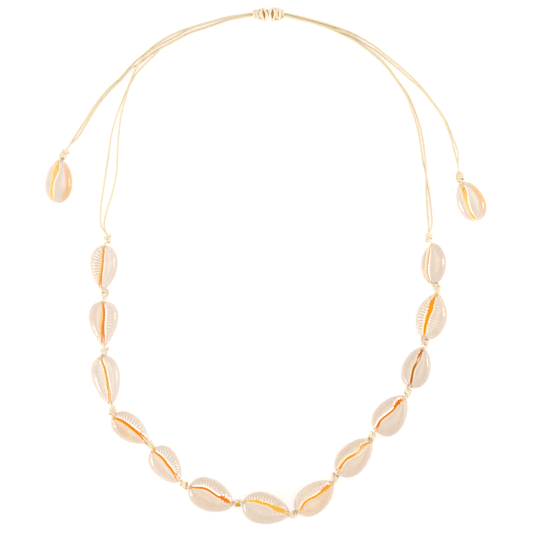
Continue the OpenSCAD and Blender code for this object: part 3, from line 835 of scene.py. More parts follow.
for name, path in cord_paths.items():
    hand = name.split("_")[1]
    points, faces, masks = tube(path, CORD_D / 2)
    masks["sunk"], masks["glow"] = in_tail_shell(points, 1 if hand == "left" else 0)
    least, from_y = FREE_WAX[hand]
    masks["wax_and_shade"] = least + (FULL_WAX - least) * smooth_step(points[:, 1], from_y, FULL_WAX_Y)
    for row in SHELL[SHELLS:]:
        away = np.hypot(points[:, 0] - row.x, points[:, 1] - row.y)
        masks["wax_and_shade"] *= smooth_step(away, CLEAN_UP_TO, WAXED_FROM)
    piece(name.replace("cord", "free_cord"), (points, faces, masks),
                              free_cord, "cord", name)
    print(name, "is", round(path_length(path), 1), "mm long")

# %% [markdown]
# Two strands run side by side through all thirteen shells. In some shells the slit
# is open wide enough for the upper strand to come up between the lips, where it
# shows as an ivory line. The table says where, as places from -1 to 1 along each
# shell. Everywhere else the strands stay below, and take on the light of the slit, or
# they would cross it as a pale bar. Short ends at the mouths would look the same from
# above, but a whole strand is right from the side as well.

# %% Strand through the shells
#               shell: (from, to), ...
STRAND_SHOWS = {0: [(0.72, 1.1)], 1: [(0.55, 1.1)], 2: [(0.3, 1.1)], 3: [(0.6, 1.1)],
                4: [(0.6, 1.1)], 5: [(0.85, 1.1)], 6: [(0.85, 1.1)],
                7: [(-1.1, -0.8), (0.85, 1.1)], 8: [(-1.1, -0.8), (0.1, 0.7)],
                9: [(-1.1, -0.85), (0.85, 1.1)], 10: [(-1.1, -0.85), (0.2, 0.6)],
                11: [(-1.1, -0.85)], 12: [(-1.1, -0.85)]}
STRAND_RISE, RISE_RUN = 1.6, 0.16
STRAND_LIGHT_FROM, STRAND_LIGHT_TO = 0.9, 1.0
INSIDE_PLACES = np.linspace(-0.84, 0.84, 15)


def strand_rise(k, s):
    """How far the upper strand comes up at a place along shell k."""
    rise = 0.0
    for low, high in STRAND_SHOWS.get(k, []):
        up = smooth_step(s, low - RISE_RUN, low + RISE_RUN)
        rise = max(rise, float(up * (1 - smooth_step(s, high - RISE_RUN, high + RISE_RUN))))
    return STRAND_RISE * rise


def inside_shells(path, up):
    """How deep each point of the strand is in the light of a slit, and that light."""
    sunk, light = np.zeros(len(path)), np.tile([0.0, 0.0, 0.0, 1.0], (len(path), 1))
    for k, (row, look) in enumerate(zip(SHELL[:SHELLS], LOOK)):
        half = row.long / 2
        cos_turn, sin_turn = turned(row.turn)
        x, y = (path[:, :2] - row[:2]).T
        s = (x * cos_turn + y * sin_turn) / half
        here = (np.hypot(x, y) < half) & (np.abs(s) < 1)
        out = np.array([strand_rise(k, v) for v in s]) / STRAND_RISE if up > 0 else 0 * s
        deep = (1 - smooth_step(np.abs(s), STRAND_LIGHT_FROM, STRAND_LIGHT_TO)) * (1 - out)
        sunk[here] = deep[here]
        light[here] = color(*look.glow)
    return sunk, light


def thread_route(up):
    """Through every knot and shell in turn, for the upper (up = 1) or lower strand."""
    route = []
    for k, row in enumerate(SHELL[:SHELLS]):
        route += [knot_end(k, -1, up), knot_end(k, 1, up), mouth(row, -1, MOUTH_OUT, up)]
        for s in INSIDE_PLACES:
            lift = strand_rise(k, s) if up > 0 else 0.0
            route.append(placed(row, [s * (row.long / 2), float(slit_at(row, s)),
                                      THREAD_Z + up * STRAND_GAP + lift]))
        route.append(mouth(row, 1, MOUTH_OUT, up))
    return route + [knot_end(SHELLS, -1, up), knot_end(SHELLS, 1, up)]


for name, up in (("a", 1), ("b", -1)):
    path = smooth_path(thread_route(up))
    points, faces, masks = tube(path, CORD_D / 2)
    sunk, light = inside_shells(path, up)
    masks["sunk"], masks["glow"] = np.repeat(sunk, CORD_SIDES), np.repeat(light, CORD_SIDES, 0)
    piece("shell_strand_" + name, (points, faces, masks), shell_cord, "cord",
          "strand_thread_" + name)
    print("shell strand", name, "is", round(path_length(path)), "mm long")

# %% [markdown]
# A small knot holds each shell in its place. It is a doubled overhand knot drawn
# tight: both strands go a little over once round the cord, side by side, tuck back
# in at each end, and one strand crosses over the others. A ball with a bumpy
# material would do from afar, but up close the strands must be seen to cross. So a
# helix with tucked ends draws the wraps. Each knot is rolled by its own seeded
# angle, and no two look alike from above.

# %% Paths of a knot
# The turns over which an end tucks in, its distance from the axis there, and the share
# by which the two strands of a wrap close up
TUCK_TURN, TUCK_R, TUCK_CLOSE = 0.28, 0.45, 0.5
WRAP_STEP = 0.3
LEAST_STEPS = 8
# The crossing strand: share of the knot's length, degrees round it, share of its radius
CROSSING = [(-0.5, -80, 0.5), (-0.42, -48, 0.86), (-0.16, -16, 1.0), (0.16, 16, 1.0),
            (0.42, 48, 0.86), (0.5, 80, 0.5)]


def round_axis(x, r, angle):
    """Points at x along the X axis, r away from it, and an angle round it."""
    return np.stack([x, r * np.cos(angle), r * np.sin(angle)], 1)


def wound_path(turns, pitch, radius, offset, roll, hand):
    """A helix round the X axis whose ends dive to the tuck radius."""
    length = (turns + 2 * TUCK_TURN) * 2 * math.pi * radius
    u = np.linspace(-TUCK_TURN, turns + TUCK_TURN, max(LEAST_STEPS, round(length / WRAP_STEP)))
    dive = smooth_step(np.maximum(-u, u - turns) / TUCK_TURN, 0.0, 1.0)
    x = (np.clip(u, 0, turns) - turns / 2) * pitch + offset * (1 - TUCK_CLOSE * dive)
    return round_axis(x, radius - (radius - TUCK_R) * dive, hand * u * 2 * math.pi + roll)


def crossing_path(length, radius, roll, hand):
    """One strand that lies slantwise over the wraps."""
    points = []
    for along, degrees, share in CROSSING:
        angle = roll + hand * math.radians(degrees)
        points.append([along * length, share * radius * math.cos(angle),
                       share * radius * math.sin(angle)])
    return smooth_path(points, WRAP_STEP)


def on_axis(path, mid, way):
    """A path made round the X axis, moved onto a knot's own axis, and that axis."""
    across = unit(np.cross([0, 0, 1.0], way))
    axes = np.array([way, across, np.cross(way, across)])
    return mid + path @ axes, mid + path[:, :1] * way


print("a crossing strand turns", CROSSING[-1][1] - CROSSING[0][1], "degrees")

# %% [markdown]
# The real knots show brown spots here and there, mostly at the front of the choker.
# Noise could scatter such spots, but then no knot would be much darker than the rest,
# as one is. So a table says where each spot lies, and another how golden the painted
# shade in the creases of each knot is.

# %% Small knots
SMALL_TURNS, SMALL_PITCH, SMALL_WRAP_R = 1.25, 1.62, 1.42
CROSS_LONGER, CROSS_OUT = 1.9, 0.5
# The crossing strand lies on top, at a chance place within this share of a half turn
CROSS_WITHIN = (0.1, 0.9)
PATCH_CORE = 0.55
PLAIN_WAX = 0.3
# How golden the painted shade in the creases of each small knot is
KNOT_WAX = [0.1, 0.1, 0.15, 0.2, 0.3, 0.5, 1.0, 0.8, 0.8, 0.5, 0.4, 0.5, 0.5, 0.2]
# Where each is brown: mm right of its middle, mm up, radius, how strong
BROWN_SPOTS = [
    [(-1.0, 1.8, 0.5, 0.4)],
    [(-0.5, -2.2, 0.6, 0.3)],
    [(-0.6, 2.2, 0.7, 0.7), (1.3, 0.6, 0.5, 0.4), (-1.3, 0.0, 0.4, 0.4)],
    [(0.3, -1.4, 0.8, 0.4)],
    [(1.2, -1.5, 0.7, 0.8)],
    [(1.2, 0.8, 0.5, 1.0), (1.3, -0.3, 0.6, 1.0), (0.8, -1.5, 0.6, 1.0)],
    [(0.1, -1.0, 1.6, 1.0), (0.4, 0.2, 0.8, 0.8)],
    [(-2.1, -0.9, 0.8, 1.0), (0.7, 0.8, 0.7, 0.8), (-0.5, 2.0, 0.6, 0.7)],
    [(-1.1, -1.3, 0.9, 0.9), (1.2, 1.5, 0.8, 0.9)],
    [(-0.4, -1.3, 0.8, 0.9), (1.3, 1.8, 0.6, 0.6)],
    [(-1.2, -0.5, 0.6, 0.7), (-1.2, -1.8, 0.7, 0.8), (-0.2, 0.8, 0.4, 0.5)],
    [(0.1, -0.5, 0.7, 0.7), (-1.0, 0.8, 0.4, 0.5)],
    [(-0.6, 1.9, 0.8, 0.7), (1.0, 0.8, 0.7, 0.8)],
    [],
]


def brown_patches(points, mid, spots):
    """How brown each point of a knot is."""
    brown_patch = np.zeros(len(points))
    for right, up, radius, strength in spots:
        away = np.hypot(points[:, 0] - mid[0] - right, points[:, 1] - mid[1] - up)
        inner = PATCH_CORE * radius
        brown_patch = np.maximum(brown_patch, strength * (1 - smooth_step(away, inner, radius)))
    return brown_patch


def wound_knot(name, node, mid, way, seed, turns, pitch, radius, doubled=True,
               wax_and_shade=PLAIN_WAX, spots=(), side=None):
    """A knot of one strand, or of two with a third across. side says which tail shell
    it is in, if any."""
    chance = random.Random(seed)
    roll, hand = chance.uniform(0, 2 * math.pi), chance.choice((-1, 1))
    offsets = (-pitch / 4, pitch / 4) if doubled else (0.0,)
    paths = [wound_path(turns, pitch, radius, offset, roll, hand) for offset in offsets]
    if doubled:
        lie = chance.uniform(*CROSS_WITHIN) * math.pi
        paths.append(crossing_path(turns * pitch + CROSS_LONGER, radius + CROSS_OUT,
                                   lie, -hand))
    parts = []
    for path in paths:
        path, axis = on_axis(path, mid, way)
        parts.append(tube(path, CORD_D / 2, out_from=axis, sides=KNOT_SIDES))
    points, faces, masks = joined(parts)
    masks["wax_and_shade"], masks["brown_patch"] = np.full(len(points), wax_and_shade), brown_patches(points, mid, spots)
    if side is not None:
        masks["sunk"], masks["glow"] = in_tail_shell(points, side)
    finish = knotted_cord if side is None else shell_cord
    return piece(name, (points, faces, masks), finish, "cord", node)


for k, (wax_and_shade, spots) in enumerate(zip(KNOT_WAX, BROWN_SPOTS)):
    wound_knot(f"small_knot_{k + 1:02d}", f"knot_{k + 1:02d}", knot_mid(k), knot_way(k),
               k + 1, SMALL_TURNS, SMALL_PITCH, SMALL_WRAP_R, wax_and_shade=wax_and_shade, spots=spots)
print(len(KNOT), "small knots, each of two strands and a crossing one")

# %% [markdown]
# Above each tail shell the two strands make a longer knot, of clean cord. Inside the
# shell each pair ends in a small stop knot that can't slip back out through the
# channel. The stop knots can't be seen in the photograph, so they are plain single
# wraps, and lie in the light of the slit.

# %% Tail knots and stop knots
TAIL_TURNS, TAIL_WAX, TAIL_SEED = 1.8, 0.05, 40
STOP_TURNS, STOP_PITCH, STOP_WRAP_R, STOP_SEED = 1.5, 0.78, 0.56, 50
for side, name in enumerate(("left", "right")):
    tail = wound_knot("tail_wraps_" + name, "tail_knot_" + name, tail_mid(side),
                      tail_way(side), TAIL_SEED + side, TAIL_TURNS, SMALL_PITCH,
                      SMALL_WRAP_R, wax_and_shade=TAIL_WAX)
    stop_mid = inside_tail(side, stop_x(side), 0)
    stop_way = unit(inside_tail(side, stop_x(side) + 1, 0) - stop_mid)
    stop = wound_knot("stop_wraps_" + name, "stop_knot_" + name, stop_mid, stop_way,
                      STOP_SEED + side, STOP_TURNS, STOP_PITCH, STOP_WRAP_R,
                      doubled=False, side=side)
print("tail knots at", tail_mid(0).round(1), "and", tail_mid(1).round(1))

# %% [markdown]
# The two sliding knots set the choker's size. Each winds a doubled strand three
# times round the four cords, over a first layer that is hidden but for the gaps, where
# it shows painted golden brown shade. The left one slants one way and the right one
# the other. A plain helix would space its wraps evenly, but each real knot has one
# wide gap and thins out to one end. So tables give the wraps' places, how far out each
# stands and how far its two strands part on top, and the helix is bent through them.

# %% Paths of the sliding knots
SLIDE_STRAND_R = 0.56
SLIDE_OUTER_R, SLIDE_INNER_R = 2.64, 1.58
SLIDE_LEAD = 0.25
SLIDE_PAIR = (-0.47, 0.47)
SLIDE_SIDES = 12
INNER_TURNS, INNER_STEP, INNER_PAST, INNER_UNDER = 5, 0.34, 0.45, 0.9
# One entry a knot: the wraps' places along it, their share of the outer radius, how
# far their strands part on top, the slant, and the brown spots as on the small knots
SLIDE_WRAPS = [-2.75, -1.35, 1.25], [-1.75, 0.95, 2.5]
SLIDE_SHRINK = [0.58, 0.72, 1.0], [1.0, 0.98, 0.6]
SLIDE_PARTS = [0.1, 0.4, 1.5], [1.45, 0.5, 0.1]
SLIDE_SLANT = 0.3, -0.3
SLIDE_SPOTS = [(-0.7, -1.9, 0.5, 0.9)], [(0.5, -2.6, 0.6, 0.9), (2.9, -1.3, 0.7, 0.8)]
TOP_POWER = 4
# All of the first layer counts as facing in, and what faces in gets brown painted shade
FACING_IN, BROWN_BELOW = -1.0, -0.99


def slide_path(side, offset):
    """Three wraps at their own places, with ends that dive under."""
    turns = len(SLIDE_WRAPS[side])
    first, last = -SLIDE_LEAD, turns - 1 + SLIDE_LEAD
    start, end = first - TUCK_TURN, last + TUCK_TURN
    count = round((end - start) * 2 * math.pi * SLIDE_OUTER_R / WRAP_STEP)
    u = np.linspace(start, end, count)
    places, shrink, parts = (np.interp(u, np.arange(turns), table[side])
                             for table in (SLIDE_WRAPS, SLIDE_SHRINK, SLIDE_PARTS))
    dive = smooth_step(np.maximum(first - u, u - last) / TUCK_TURN, 0, 1)
    on_top = np.maximum(0, np.cos(u * 2 * math.pi)) ** TOP_POWER
    x = places + SLIDE_SLANT[side] * np.sin(u * 2 * math.pi)
    x += offset * (1 + on_top * parts)
    r = SLIDE_OUTER_R * shrink
    r = r - (r - SLIDE_INNER_R) * dive
    return round_axis(x, r, math.pi / 2 + u * 2 * math.pi)


def slide_inner_path(side):
    """The first layer, an even helix that stays under the wraps."""
    count = round(INNER_TURNS * 2 * math.pi * SLIDE_INNER_R / INNER_STEP)
    u = np.linspace(0, INNER_TURNS, count)
    x = (u / INNER_TURNS - 0.5) * 2 * (SLIDE_PITCH + INNER_PAST)
    shrink = np.interp(x, SLIDE_WRAPS[side], SLIDE_SHRINK[side])
    r = np.minimum(SLIDE_INNER_R, (SLIDE_OUTER_R - INNER_UNDER) * shrink)
    return round_axis(x, r, u * 2 * math.pi)


print("first layer", INNER_TURNS, "turns, wraps", [len(wraps) for wraps in SLIDE_WRAPS])

# %% [markdown]
# Both strands of the wraps and the first layer are joined into one mesh a knot. The
# first layer is painted brown all over, and that is the painted shade between the wraps.

# %% Sliding knots
def slide_piece(side, name):
    mid, way = np.array([*SLIDE_KNOT[side], SLIDE_Z]), np.array([1.0, 0, 0])
    parts = []
    for offset in SLIDE_PAIR:
        path, axis = on_axis(slide_path(side, offset), mid, way)
        parts.append(tube(path, SLIDE_STRAND_R, out_from=axis, sides=SLIDE_SIDES))
    path, _ = on_axis(slide_inner_path(side), mid, way)
    inner = tube(path, SLIDE_STRAND_R, sides=KNOT_SIDES)
    inner[2]["crest"][:] = FACING_IN
    points, faces, masks = joined([*parts, inner])
    masks["wax_and_shade"] = np.ones(len(points))
    # Brown spots, and brown painted shade all over the first layer between the wraps
    masks["brown_patch"] = np.maximum(brown_patches(points, mid, SLIDE_SPOTS[side]),
                                masks["crest"] < BROWN_BELOW)
    return piece("slide_" + name, (points, faces, masks), knotted_cord, "cord",
                 "slide_knot_" + name)


for side, name in enumerate(("left", "right")):
    made = slide_piece(side, name)
    print(made.name, "has", len(made.data.polygons), "faces")

# %% [markdown]
# The shells are money cowries with the back sliced off, laid with the slit up. They
# could be sculpted, but fifteen of them would take days. So ring after ring of points
# is lofted round the slit: each ring goes from under the lip, over the crest, down
# the flank to the cut, and back up inside. The outline is a rounded shape that the
# shell's row narrows, and rings are kept in line with the channels at the slit's ends.

# %% Outline and rings of a shell
RINGS = 132
CHANNEL_TRIES = 5


def outline_at(row, angle):
    c = np.cos(angle)
    return np.stack([row.long / 2 * c, np.sin(angle) * breadth(row, c)], -1)


def drawn_in(row, angle, share, inset):
    """The outline drawn in to a share of itself, kept in line with the slit's ends."""
    c = np.cos(angle)
    o = outline_at(row, angle)
    o[:, 1] -= slit_at(row, c) * c * c
    p = o * share - o / np.linalg.norm(o, axis=1)[:, None] * inset
    p[:, 1] += slit_at(row, p[:, 0] / (row.long / 2)) * c * c
    return p


def ring_angles(row, side):
    """From the far end's channel round one side to the near end's channel."""
    ends = []
    for far in (1, -1):
        angle = 0.0
        for _ in range(CHANNEL_TRIES):
            c = far * math.cos(angle)
            angle = math.asin(float(slit_at(row, c)) / float(breadth(row, c)))
        ends.append(angle)
    near = math.pi - ends[1]
    return np.linspace(ends[0], near if side > 0 else near - 2 * math.pi, RINGS + 1)


print(2 * RINGS, "rings, about", round(RINGS * RIB_PITCH / SHELL[0].long), "to a rib")

# %% [markdown]
# A ring's points follow three tables: over the top, down the flank, and up inside. The
# ribs are waves across the rings that fade out towards the flank. Ribs in a bump map
# would be cheaper, but wouldn't show at the edge of the slit. The masks for the glaze
# are worked out here too, from the same numbers that make the shape: ridge for the
# ribs, lip for the white edge of the slit and its painted highlight, deep for what lies
# in its light, rim for the flank and its partly painted shade, gold for the golden side
# of the tail shells, and warm for the tint.

# %% Tables of a ring
#       share of the way from slit to outline, mm down from the crest
TOP = [(0.0, 1.5), (0.0, 0.9), (0.02, 0.58), (0.05, 0.4), (0.10, 0.26), (0.16, 0.15),
       (0.24, 0.06), (0.36, 0.0), (0.48, 0.08), (0.60, 0.27), (0.71, 0.58), (0.80, 0.98),
       (0.875, 1.48), (0.94, 2.1)]
#         share of the outline, share of the height
FLANK = [(1.0, 0.56), (1.0, 0.47), (0.985, 0.36), (0.95, 0.25), (0.90, 0.13),
         (0.845, 0.04), (0.80, 0.0)]
INNER = [(0.80, 0.0), (0.85, 0.3), (0.88, 0.5), (0.86, 0.68)]
LEAST_HIGH, HIGH_SHARE, CREST_FALL = 6.8, 0.35, 0.4
INSET = 1.3
RIB_HEIGHT = 0.17
RIB_REACH, RIB_REACH_MORE, RIB_HOLDS = 0.5, 0.36, 0.5
RIB_DEEPEST, RIB_RISES = 1.4, (0.2, 0.9)
# Places along the shell where ribs fade out, and where the tail shells' gold does
RIBS_FADE, GOLD_FADE, GOLD_MIDDLE = (0.72, 0.95), (0.25, 0.75), 0.05
GOLD_ACROSS, RIM_ACROSS = (0.58, 0.9), (0.7, 1.0)
# How much light the inner wall gets at the cut, and how much more a whole height up
WALL_LIGHT, WALL_LIGHT_MORE = 0.1, 1.4
# Millimetres from the slit's edge over which its light and its white lip with its painted
# highlight fade
LIGHT_FROM, LIGHT_TO, LIP_HOLDS_LIGHT, LIP_FADE = 0.05, 0.8, 0.45, (0.5, 1.2)
# Points more than this far down lie under the lip. The others are a little farther
# from the light than their distance says
UNDER_LIP, OVER_LIP_AWAY = 0.7, 0.12
CANAL_HALF, CANAL_FADE = 0.5, 0.65
CANAL_FROM, CANAL_TO = 2.0, 0.7
UNDER_CANAL = 1.9
# How much painted glow and painted white light the channels get against their shade
MOUTH_DEEP, MOUTH_LIT = 0.1, 0.9
SURFACE_MASKS = ("ridge", "lip", "deep", "rim", "gold", "warm")
print("points round a ring", len(TOP) + len(FLANK) + len(INNER))

# %% [markdown]
# The left and the right side are worked out one after the other, each from its own
# edge of the slit out to the flank, because their ribs, lips and tints differ. A ring
# is added point by point, and each point gets its masks in the same step.

# %% One side of a shell
def shell_side(k, side):
    """Points and masks of one side of a shell: a row of rings, in its own frame."""
    row, look = SHELL[k], LOOK[k]
    half, high = row.long / 2, max(LEAST_HIGH, row.long * HIGH_SHARE)
    ribs, lip, warm = (of_side(pair, side) for pair in (look.ribs, look.lip, look.warm))
    angle = ring_angles(row, side)
    x = (half - SLIT_TIP) * (1 - 2 * np.linspace(0, 1, RINGS + 1))
    s = x / half
    edge = np.stack([x, slit_at(row, s) + side * half_gap(k, x, side)], 1)
    out = outline_at(row, angle)
    crest = high - CREST_FALL * np.cos(angle) ** 2
    reach = RIB_REACH + RIB_REACH_MORE * ribs
    wave = np.cos(x * 2 * np.pi / RIB_PITCH)
    along = 1 - smooth_step(np.abs(s), *RIBS_FADE)
    golden = k >= SHELLS and side < 0
    gold_here = 1 - smooth_step(np.abs(s - GOLD_MIDDLE), *GOLD_FADE) if golden else 0 * s
    rings, masks = [], {m: [] for m in SURFACE_MASKS}

    def add(xy, z, **given):
        rings.append(np.stack([xy[:, 0], xy[:, 1], z], 1))
        for m, values in masks.items():
            values.append(np.broadcast_to(given.get(m, warm if m == "warm" else 0.0), s.shape))

    for across, down in TOP:
        xy = edge + (out - edge) * across
        away = np.linalg.norm(xy - edge, axis=1)
        fade = 1 - smooth_step(across, RIB_HOLDS * reach, reach)
        ridge = ribs * wave * along * fade * smooth_step(RIB_DEEPEST - down, *RIB_RISES)
        deep = 1 - smooth_step(away + (0 if down > UNDER_LIP else OVER_LIP_AWAY), LIGHT_FROM,
                               LIGHT_TO - LIP_HOLDS_LIGHT * lip)
        add(xy, crest - down + RIB_HEIGHT * ridge, ridge=ridge, deep=deep,
            lip=max(0, lip) * (1 - smooth_step(away, *LIP_FADE)),
            rim=smooth_step(across, *RIM_ACROSS),
            gold=gold_here * smooth_step(across, *GOLD_ACROSS))
    for share, height in FLANK:
        add(drawn_in(row, angle, share, 0), high * height + 0 * s, rim=1.0, gold=gold_here)
    for share, height in INNER:
        add(drawn_in(row, angle, share, INSET), high * height + 0 * s,
            deep=min(1, WALL_LIGHT + WALL_LIGHT_MORE * height))
    points = np.stack(rings, 1)
    return points, {m: np.stack(v, 1) for m, v in masks.items()}


print("masks on a shell:", *SURFACE_MASKS)

# %% [markdown]
# Near each end a smooth dip sinks the shell to the floor of the channel that the cord
# runs in, and paints light there, white and a little of the slit's glow, against the
# channel's shade. A boolean cut would give a sharper channel, but real ones are worn
# round. Then both sides are joined round the slit.

# %% Channels and the whole loft
def sunk_channels(row, points, masks):
    """Sink both ends of the slit to the channel's floor, and paint light into them."""
    half = row.long / 2
    beside = np.abs(points[..., 1] - slit_at(row, points[..., 0] / half))
    dip = smooth_step(np.abs(points[..., 0]), half - CANAL_FROM, half - CANAL_TO)
    dip = dip * (1 - smooth_step(beside, CANAL_HALF, CANAL_HALF + CANAL_FADE))
    floor = np.full(points.shape[1], CANAL_Z)
    floor[[0, -1]] = UNDER_CANAL
    points[..., 2] += (np.minimum(points[..., 2], floor) - points[..., 2]) * dip
    # Painted light in the channel: a little of the slit's glow, and white from the lip mask
    for m, least in (("deep", MOUTH_DEEP), ("lip", MOUTH_LIT)):
        masks[m] = np.maximum(masks[m], least * dip * (1 - masks["rim"]))
    return points, masks


def shell_loft(k):
    """Both sides as one ring of rings, and its faces."""
    sides = [sunk_channels(SHELL[k], *shell_side(k, side)) for side in (1, -1)]
    (left, left_masks), (right, right_masks) = sides
    points = np.concatenate([left, right[-2:0:-1]])
    masks = {m: np.concatenate([left_masks[m], right_masks[m][-2:0:-1]]).ravel()
             for m in SURFACE_MASKS}
    return points.reshape(-1, 3), ring_faces(*points.shape[:2], closed=True), masks


print("points in a shell", (2 * RINGS) * (len(TOP) + len(FLANK) + len(INNER)))

# %% [markdown]
# Under the slit lies the shell's inner whorl, a thin curved wall that the slicing
# leaves in place. It is what glows orange between the lips. A flat orange sheet would
# look the same from above, but not from the side. So it is lofted as a closed
# curved plate that reaches just into the side walls and hangs below the cord.

# %% Inner whorl
WHORL_RINGS, WHORL_ACROSS = 34, 13
WHORL_LOW, WHORL_HIGH, WHORL_THICK = 1.5, 2.7, 0.4
WHORL_REACH, WHORL_TIP = 0.88, 0.985
WHORL_INSET_LONG, WHORL_INSET_WIDE = INSET * 0.6, INSET * 0.75
WHORL_LEAST, WHORL_CURVE = 0.35, 1.5
UNDERSIDE_DEEP = 0.35


def whorl(k):
    """Points, faces and masks of the plate, closed all round and at both ends."""
    row = SHELL[k]
    half = row.long / 2
    c = np.linspace(-WHORL_TIP, WHORL_TIP, WHORL_RINGS)
    v = np.linspace(-1, 1, WHORL_ACROSS)
    x = (half * WHORL_REACH - WHORL_INSET_LONG) * c
    room = np.sqrt(1 - c ** 2) * breadth(row, c) * WHORL_REACH - WHORL_INSET_WIDE
    room = np.maximum(WHORL_LEAST, room)
    middle = slit_at(row, x / half)
    y = middle[:, None] * (1 - v**2)[None, :] + room[:, None] * v[None, :]
    rise = np.broadcast_to(v**2, y.shape) ** WHORL_CURVE
    z = WHORL_LOW + (WHORL_HIGH - WHORL_LOW) * rise
    top = np.stack([np.broadcast_to(x[:, None], y.shape), y, z], -1)
    ring = np.concatenate([top, (top - [0, 0, WHORL_THICK])[:, ::-1]], axis=1)
    n, m = ring.shape[:2]
    grid = np.arange(n * m).reshape(n, m)
    over = np.roll(grid, -1, axis=1)
    faces = np.stack([grid[:-1], over[:-1], over[1:], grid[1:]], -1).reshape(-1, 4).tolist()
    faces += [grid[0][::-1].tolist(), grid[-1].tolist()]
    masks = {name: np.zeros(n * m) for name in SURFACE_MASKS}
    masks["deep"] = np.tile(np.repeat([1.0, UNDERSIDE_DEEP], WHORL_ACROSS), n)
    return ring.reshape(-1, 3), faces, masks


print("whorl points", WHORL_RINGS * WHORL_ACROSS * 2)

# %% [markdown]
# A cowrie's glaze is beige with peach in the grooves, white on the ribs and lips, and
# a little darker towards the edge. A painted highlight is laid on the white lips, and
# the darker edge is partly the shell's own margin and partly painted shade on the
# flank. Painting it by hand would have to be done again for every shell. Here the masks
# on the mesh say where each of these is, the colours are laid over each other one by
# one, and the mottle group breaks them up. A clear coat gives the wet gloss over it.
# The white lips give off a little light too, as a painted highlight.

# %% Shell glaze
PALE = color(246, 233, 221)
BEIGE = color(242, 226, 210)
WARM = color(245, 218, 184)
PEACH = color(240, 206, 174)
DUSKY = color(228, 207, 188)
WHITE = color(255, 253, 248)
# The darker edge colour: partly the shell's own margin, partly painted shade on the flank
EDGE = color(228, 205, 187)
GOLD = color(248, 198, 142)
AMBER = color(255, 214, 120)
NO_LIGHT = (0, 0, 0, 1)
GLOW_STRENGTH = 0.25
GLAZE_CLOUDS, GLAZE_SPECKS = 210.0, 1500.0
GLAZE_ROUGH, GLAZE_BUMP = (0.2, 0.34), (0.12, 0.25 * MM)


def glaze_material():
    material, tree, inputs = new_material("cowrie_glaze", 0.3)
    clouds, specks = mottle(tree, GLAZE_CLOUDS, GLAZE_SPECKS)
    ridge, lip, deep = (mask(tree, name) for name in ("ridge", "lip", "deep"))
    glow = glow_color(tree)
    base = mix_colors(tree, mask(tree, "warm"), mix_colors(tree, clouds, PALE, BEIGE),
                      mix_colors(tree, clouds, WARM, PEACH))
    # Each layer says where it covers the ones before it, and its colour
    layers = [(mask(tree, "tone"), DUSKY),
              # Darker towards the flank: partly the shell's own margin, partly painted shade
              (ramped(tree, mask(tree, "rim"), 0.0, 1.0, 0.0, 0.75), EDGE),
              (ramped(tree, ridge, 0.0, -0.9, 0.0, 0.7), PEACH),
              (ramped(tree, ridge, 0.05, 0.8, 0.0, 0.9), WHITE),
              # The white lip with its painted highlight, and white painted light in the
              # channels
              (product(tree, lip, 0.95), WHITE),
              (mask(tree, "gold"), GOLD),
              (ramped(tree, deep, 0.0, 0.5), mix_colors(tree, 0.5, glow, AMBER)),
              (ramped(tree, deep, 0.5, 1.0), glow)]
    for factor, layer in layers:
        base = mix_colors(tree, factor, base, layer)
    # Painted light: the lips and channels give off white, what lies in the slit's light gives
    # off amber
    lit = mix_colors(tree, deep, mix_colors(tree, lip, NO_LIGHT, WHITE), AMBER)
    feed(tree, inputs, {"Base Color": base, "Emission Color": lit,
                        "Emission Strength": GLOW_STRENGTH,
                        "Roughness": ramped(tree, specks, 0.0, 1.0, *GLAZE_ROUGH),
                        "Coat Weight": 1.0, "Coat Roughness": 0.06,
                        "Subsurface Weight": 0.1, "Subsurface Scale": 1.0 * MM})
    bumped(tree, inputs, clouds, *GLAZE_BUMP)
    return material


glaze = glaze_material()
print("finish", glaze.name, "of", len(glaze.node_tree.nodes), "nodes")

# %% [markdown]
# Inside the slit nothing shines: light comes through the thin wall and the inside
# glows orange. A lamp in each shell would light the floor as well. So the faces down
# there get a matt finish of their own, which gives off a little of its own colour.

# %% Finish inside the shells
BURNT = color(222, 100, 0)
BURNT_SHARE = 0.2
INSIDE_CLOUDS = 420.0


def inside_material():
    material, tree, inputs = new_material("cowrie_inside", 0.9)
    clouds, _ = mottle(tree, INSIDE_CLOUDS, GLAZE_SPECKS)
    shade = mix_colors(tree, product(tree, clouds, BURNT_SHARE), glow_color(tree), BURNT)
    feed(tree, inputs, {"Base Color": shade, "Emission Color": shade,
                        "Emission Strength": GLOW_STRENGTH, "Specular IOR Level": 0.0})
    return material


inside = inside_material()
print("finish", inside.name, "of", len(inside.node_tree.nodes), "nodes")

# %% [markdown]
# Now each shell is made from its loft and its whorl, moved to its place with its
# own turn and lean, and given its glow. Faces deep in the slit get the inside finish,
# and the cut stays a crisp edge.

# %% Shells
CUT_ANGLE = 50
DEEP_ENOUGH = 0.6


def finish_inside(mesh, deep):
    """Give the faces deep in the slit the inside finish."""
    mesh.materials.append(inside)
    of_faces = [float(deep[list(face.vertices)].mean() > DEEP_ENOUGH) for face in mesh.polygons]
    mesh.polygons.foreach_set("material_index", np.array(of_faces, np.int32))


def shell_piece(k, name, node):
    points, faces, masks = joined([shell_loft(k), whorl(k)])
    masks["glow"] = np.tile(color(*LOOK[k].glow), (len(points), 1))
    masks["tone"] = np.full(len(points), LOOK[k].tone)
    made = piece(name, (placed(SHELL[k], points), faces, masks), glaze, "shell", node)
    finish_inside(made.data, masks["deep"])
    made.data.set_sharp_from_angle(angle=math.radians(CUT_ANGLE))
    return made


cowries = [shell_piece(k, f"cowrie_{k + 1:02d}", f"shell_{k + 1:02d}") for k in range(SHELLS)]
for k, node in ((LEFT, "tail_shell_left"), (RIGHT, "tail_shell_right")):
    cowries.append(shell_piece(k, "cowrie_" + node, node))
print(len(cowries), "shells of", len(cowries[0].data.polygons), "faces")

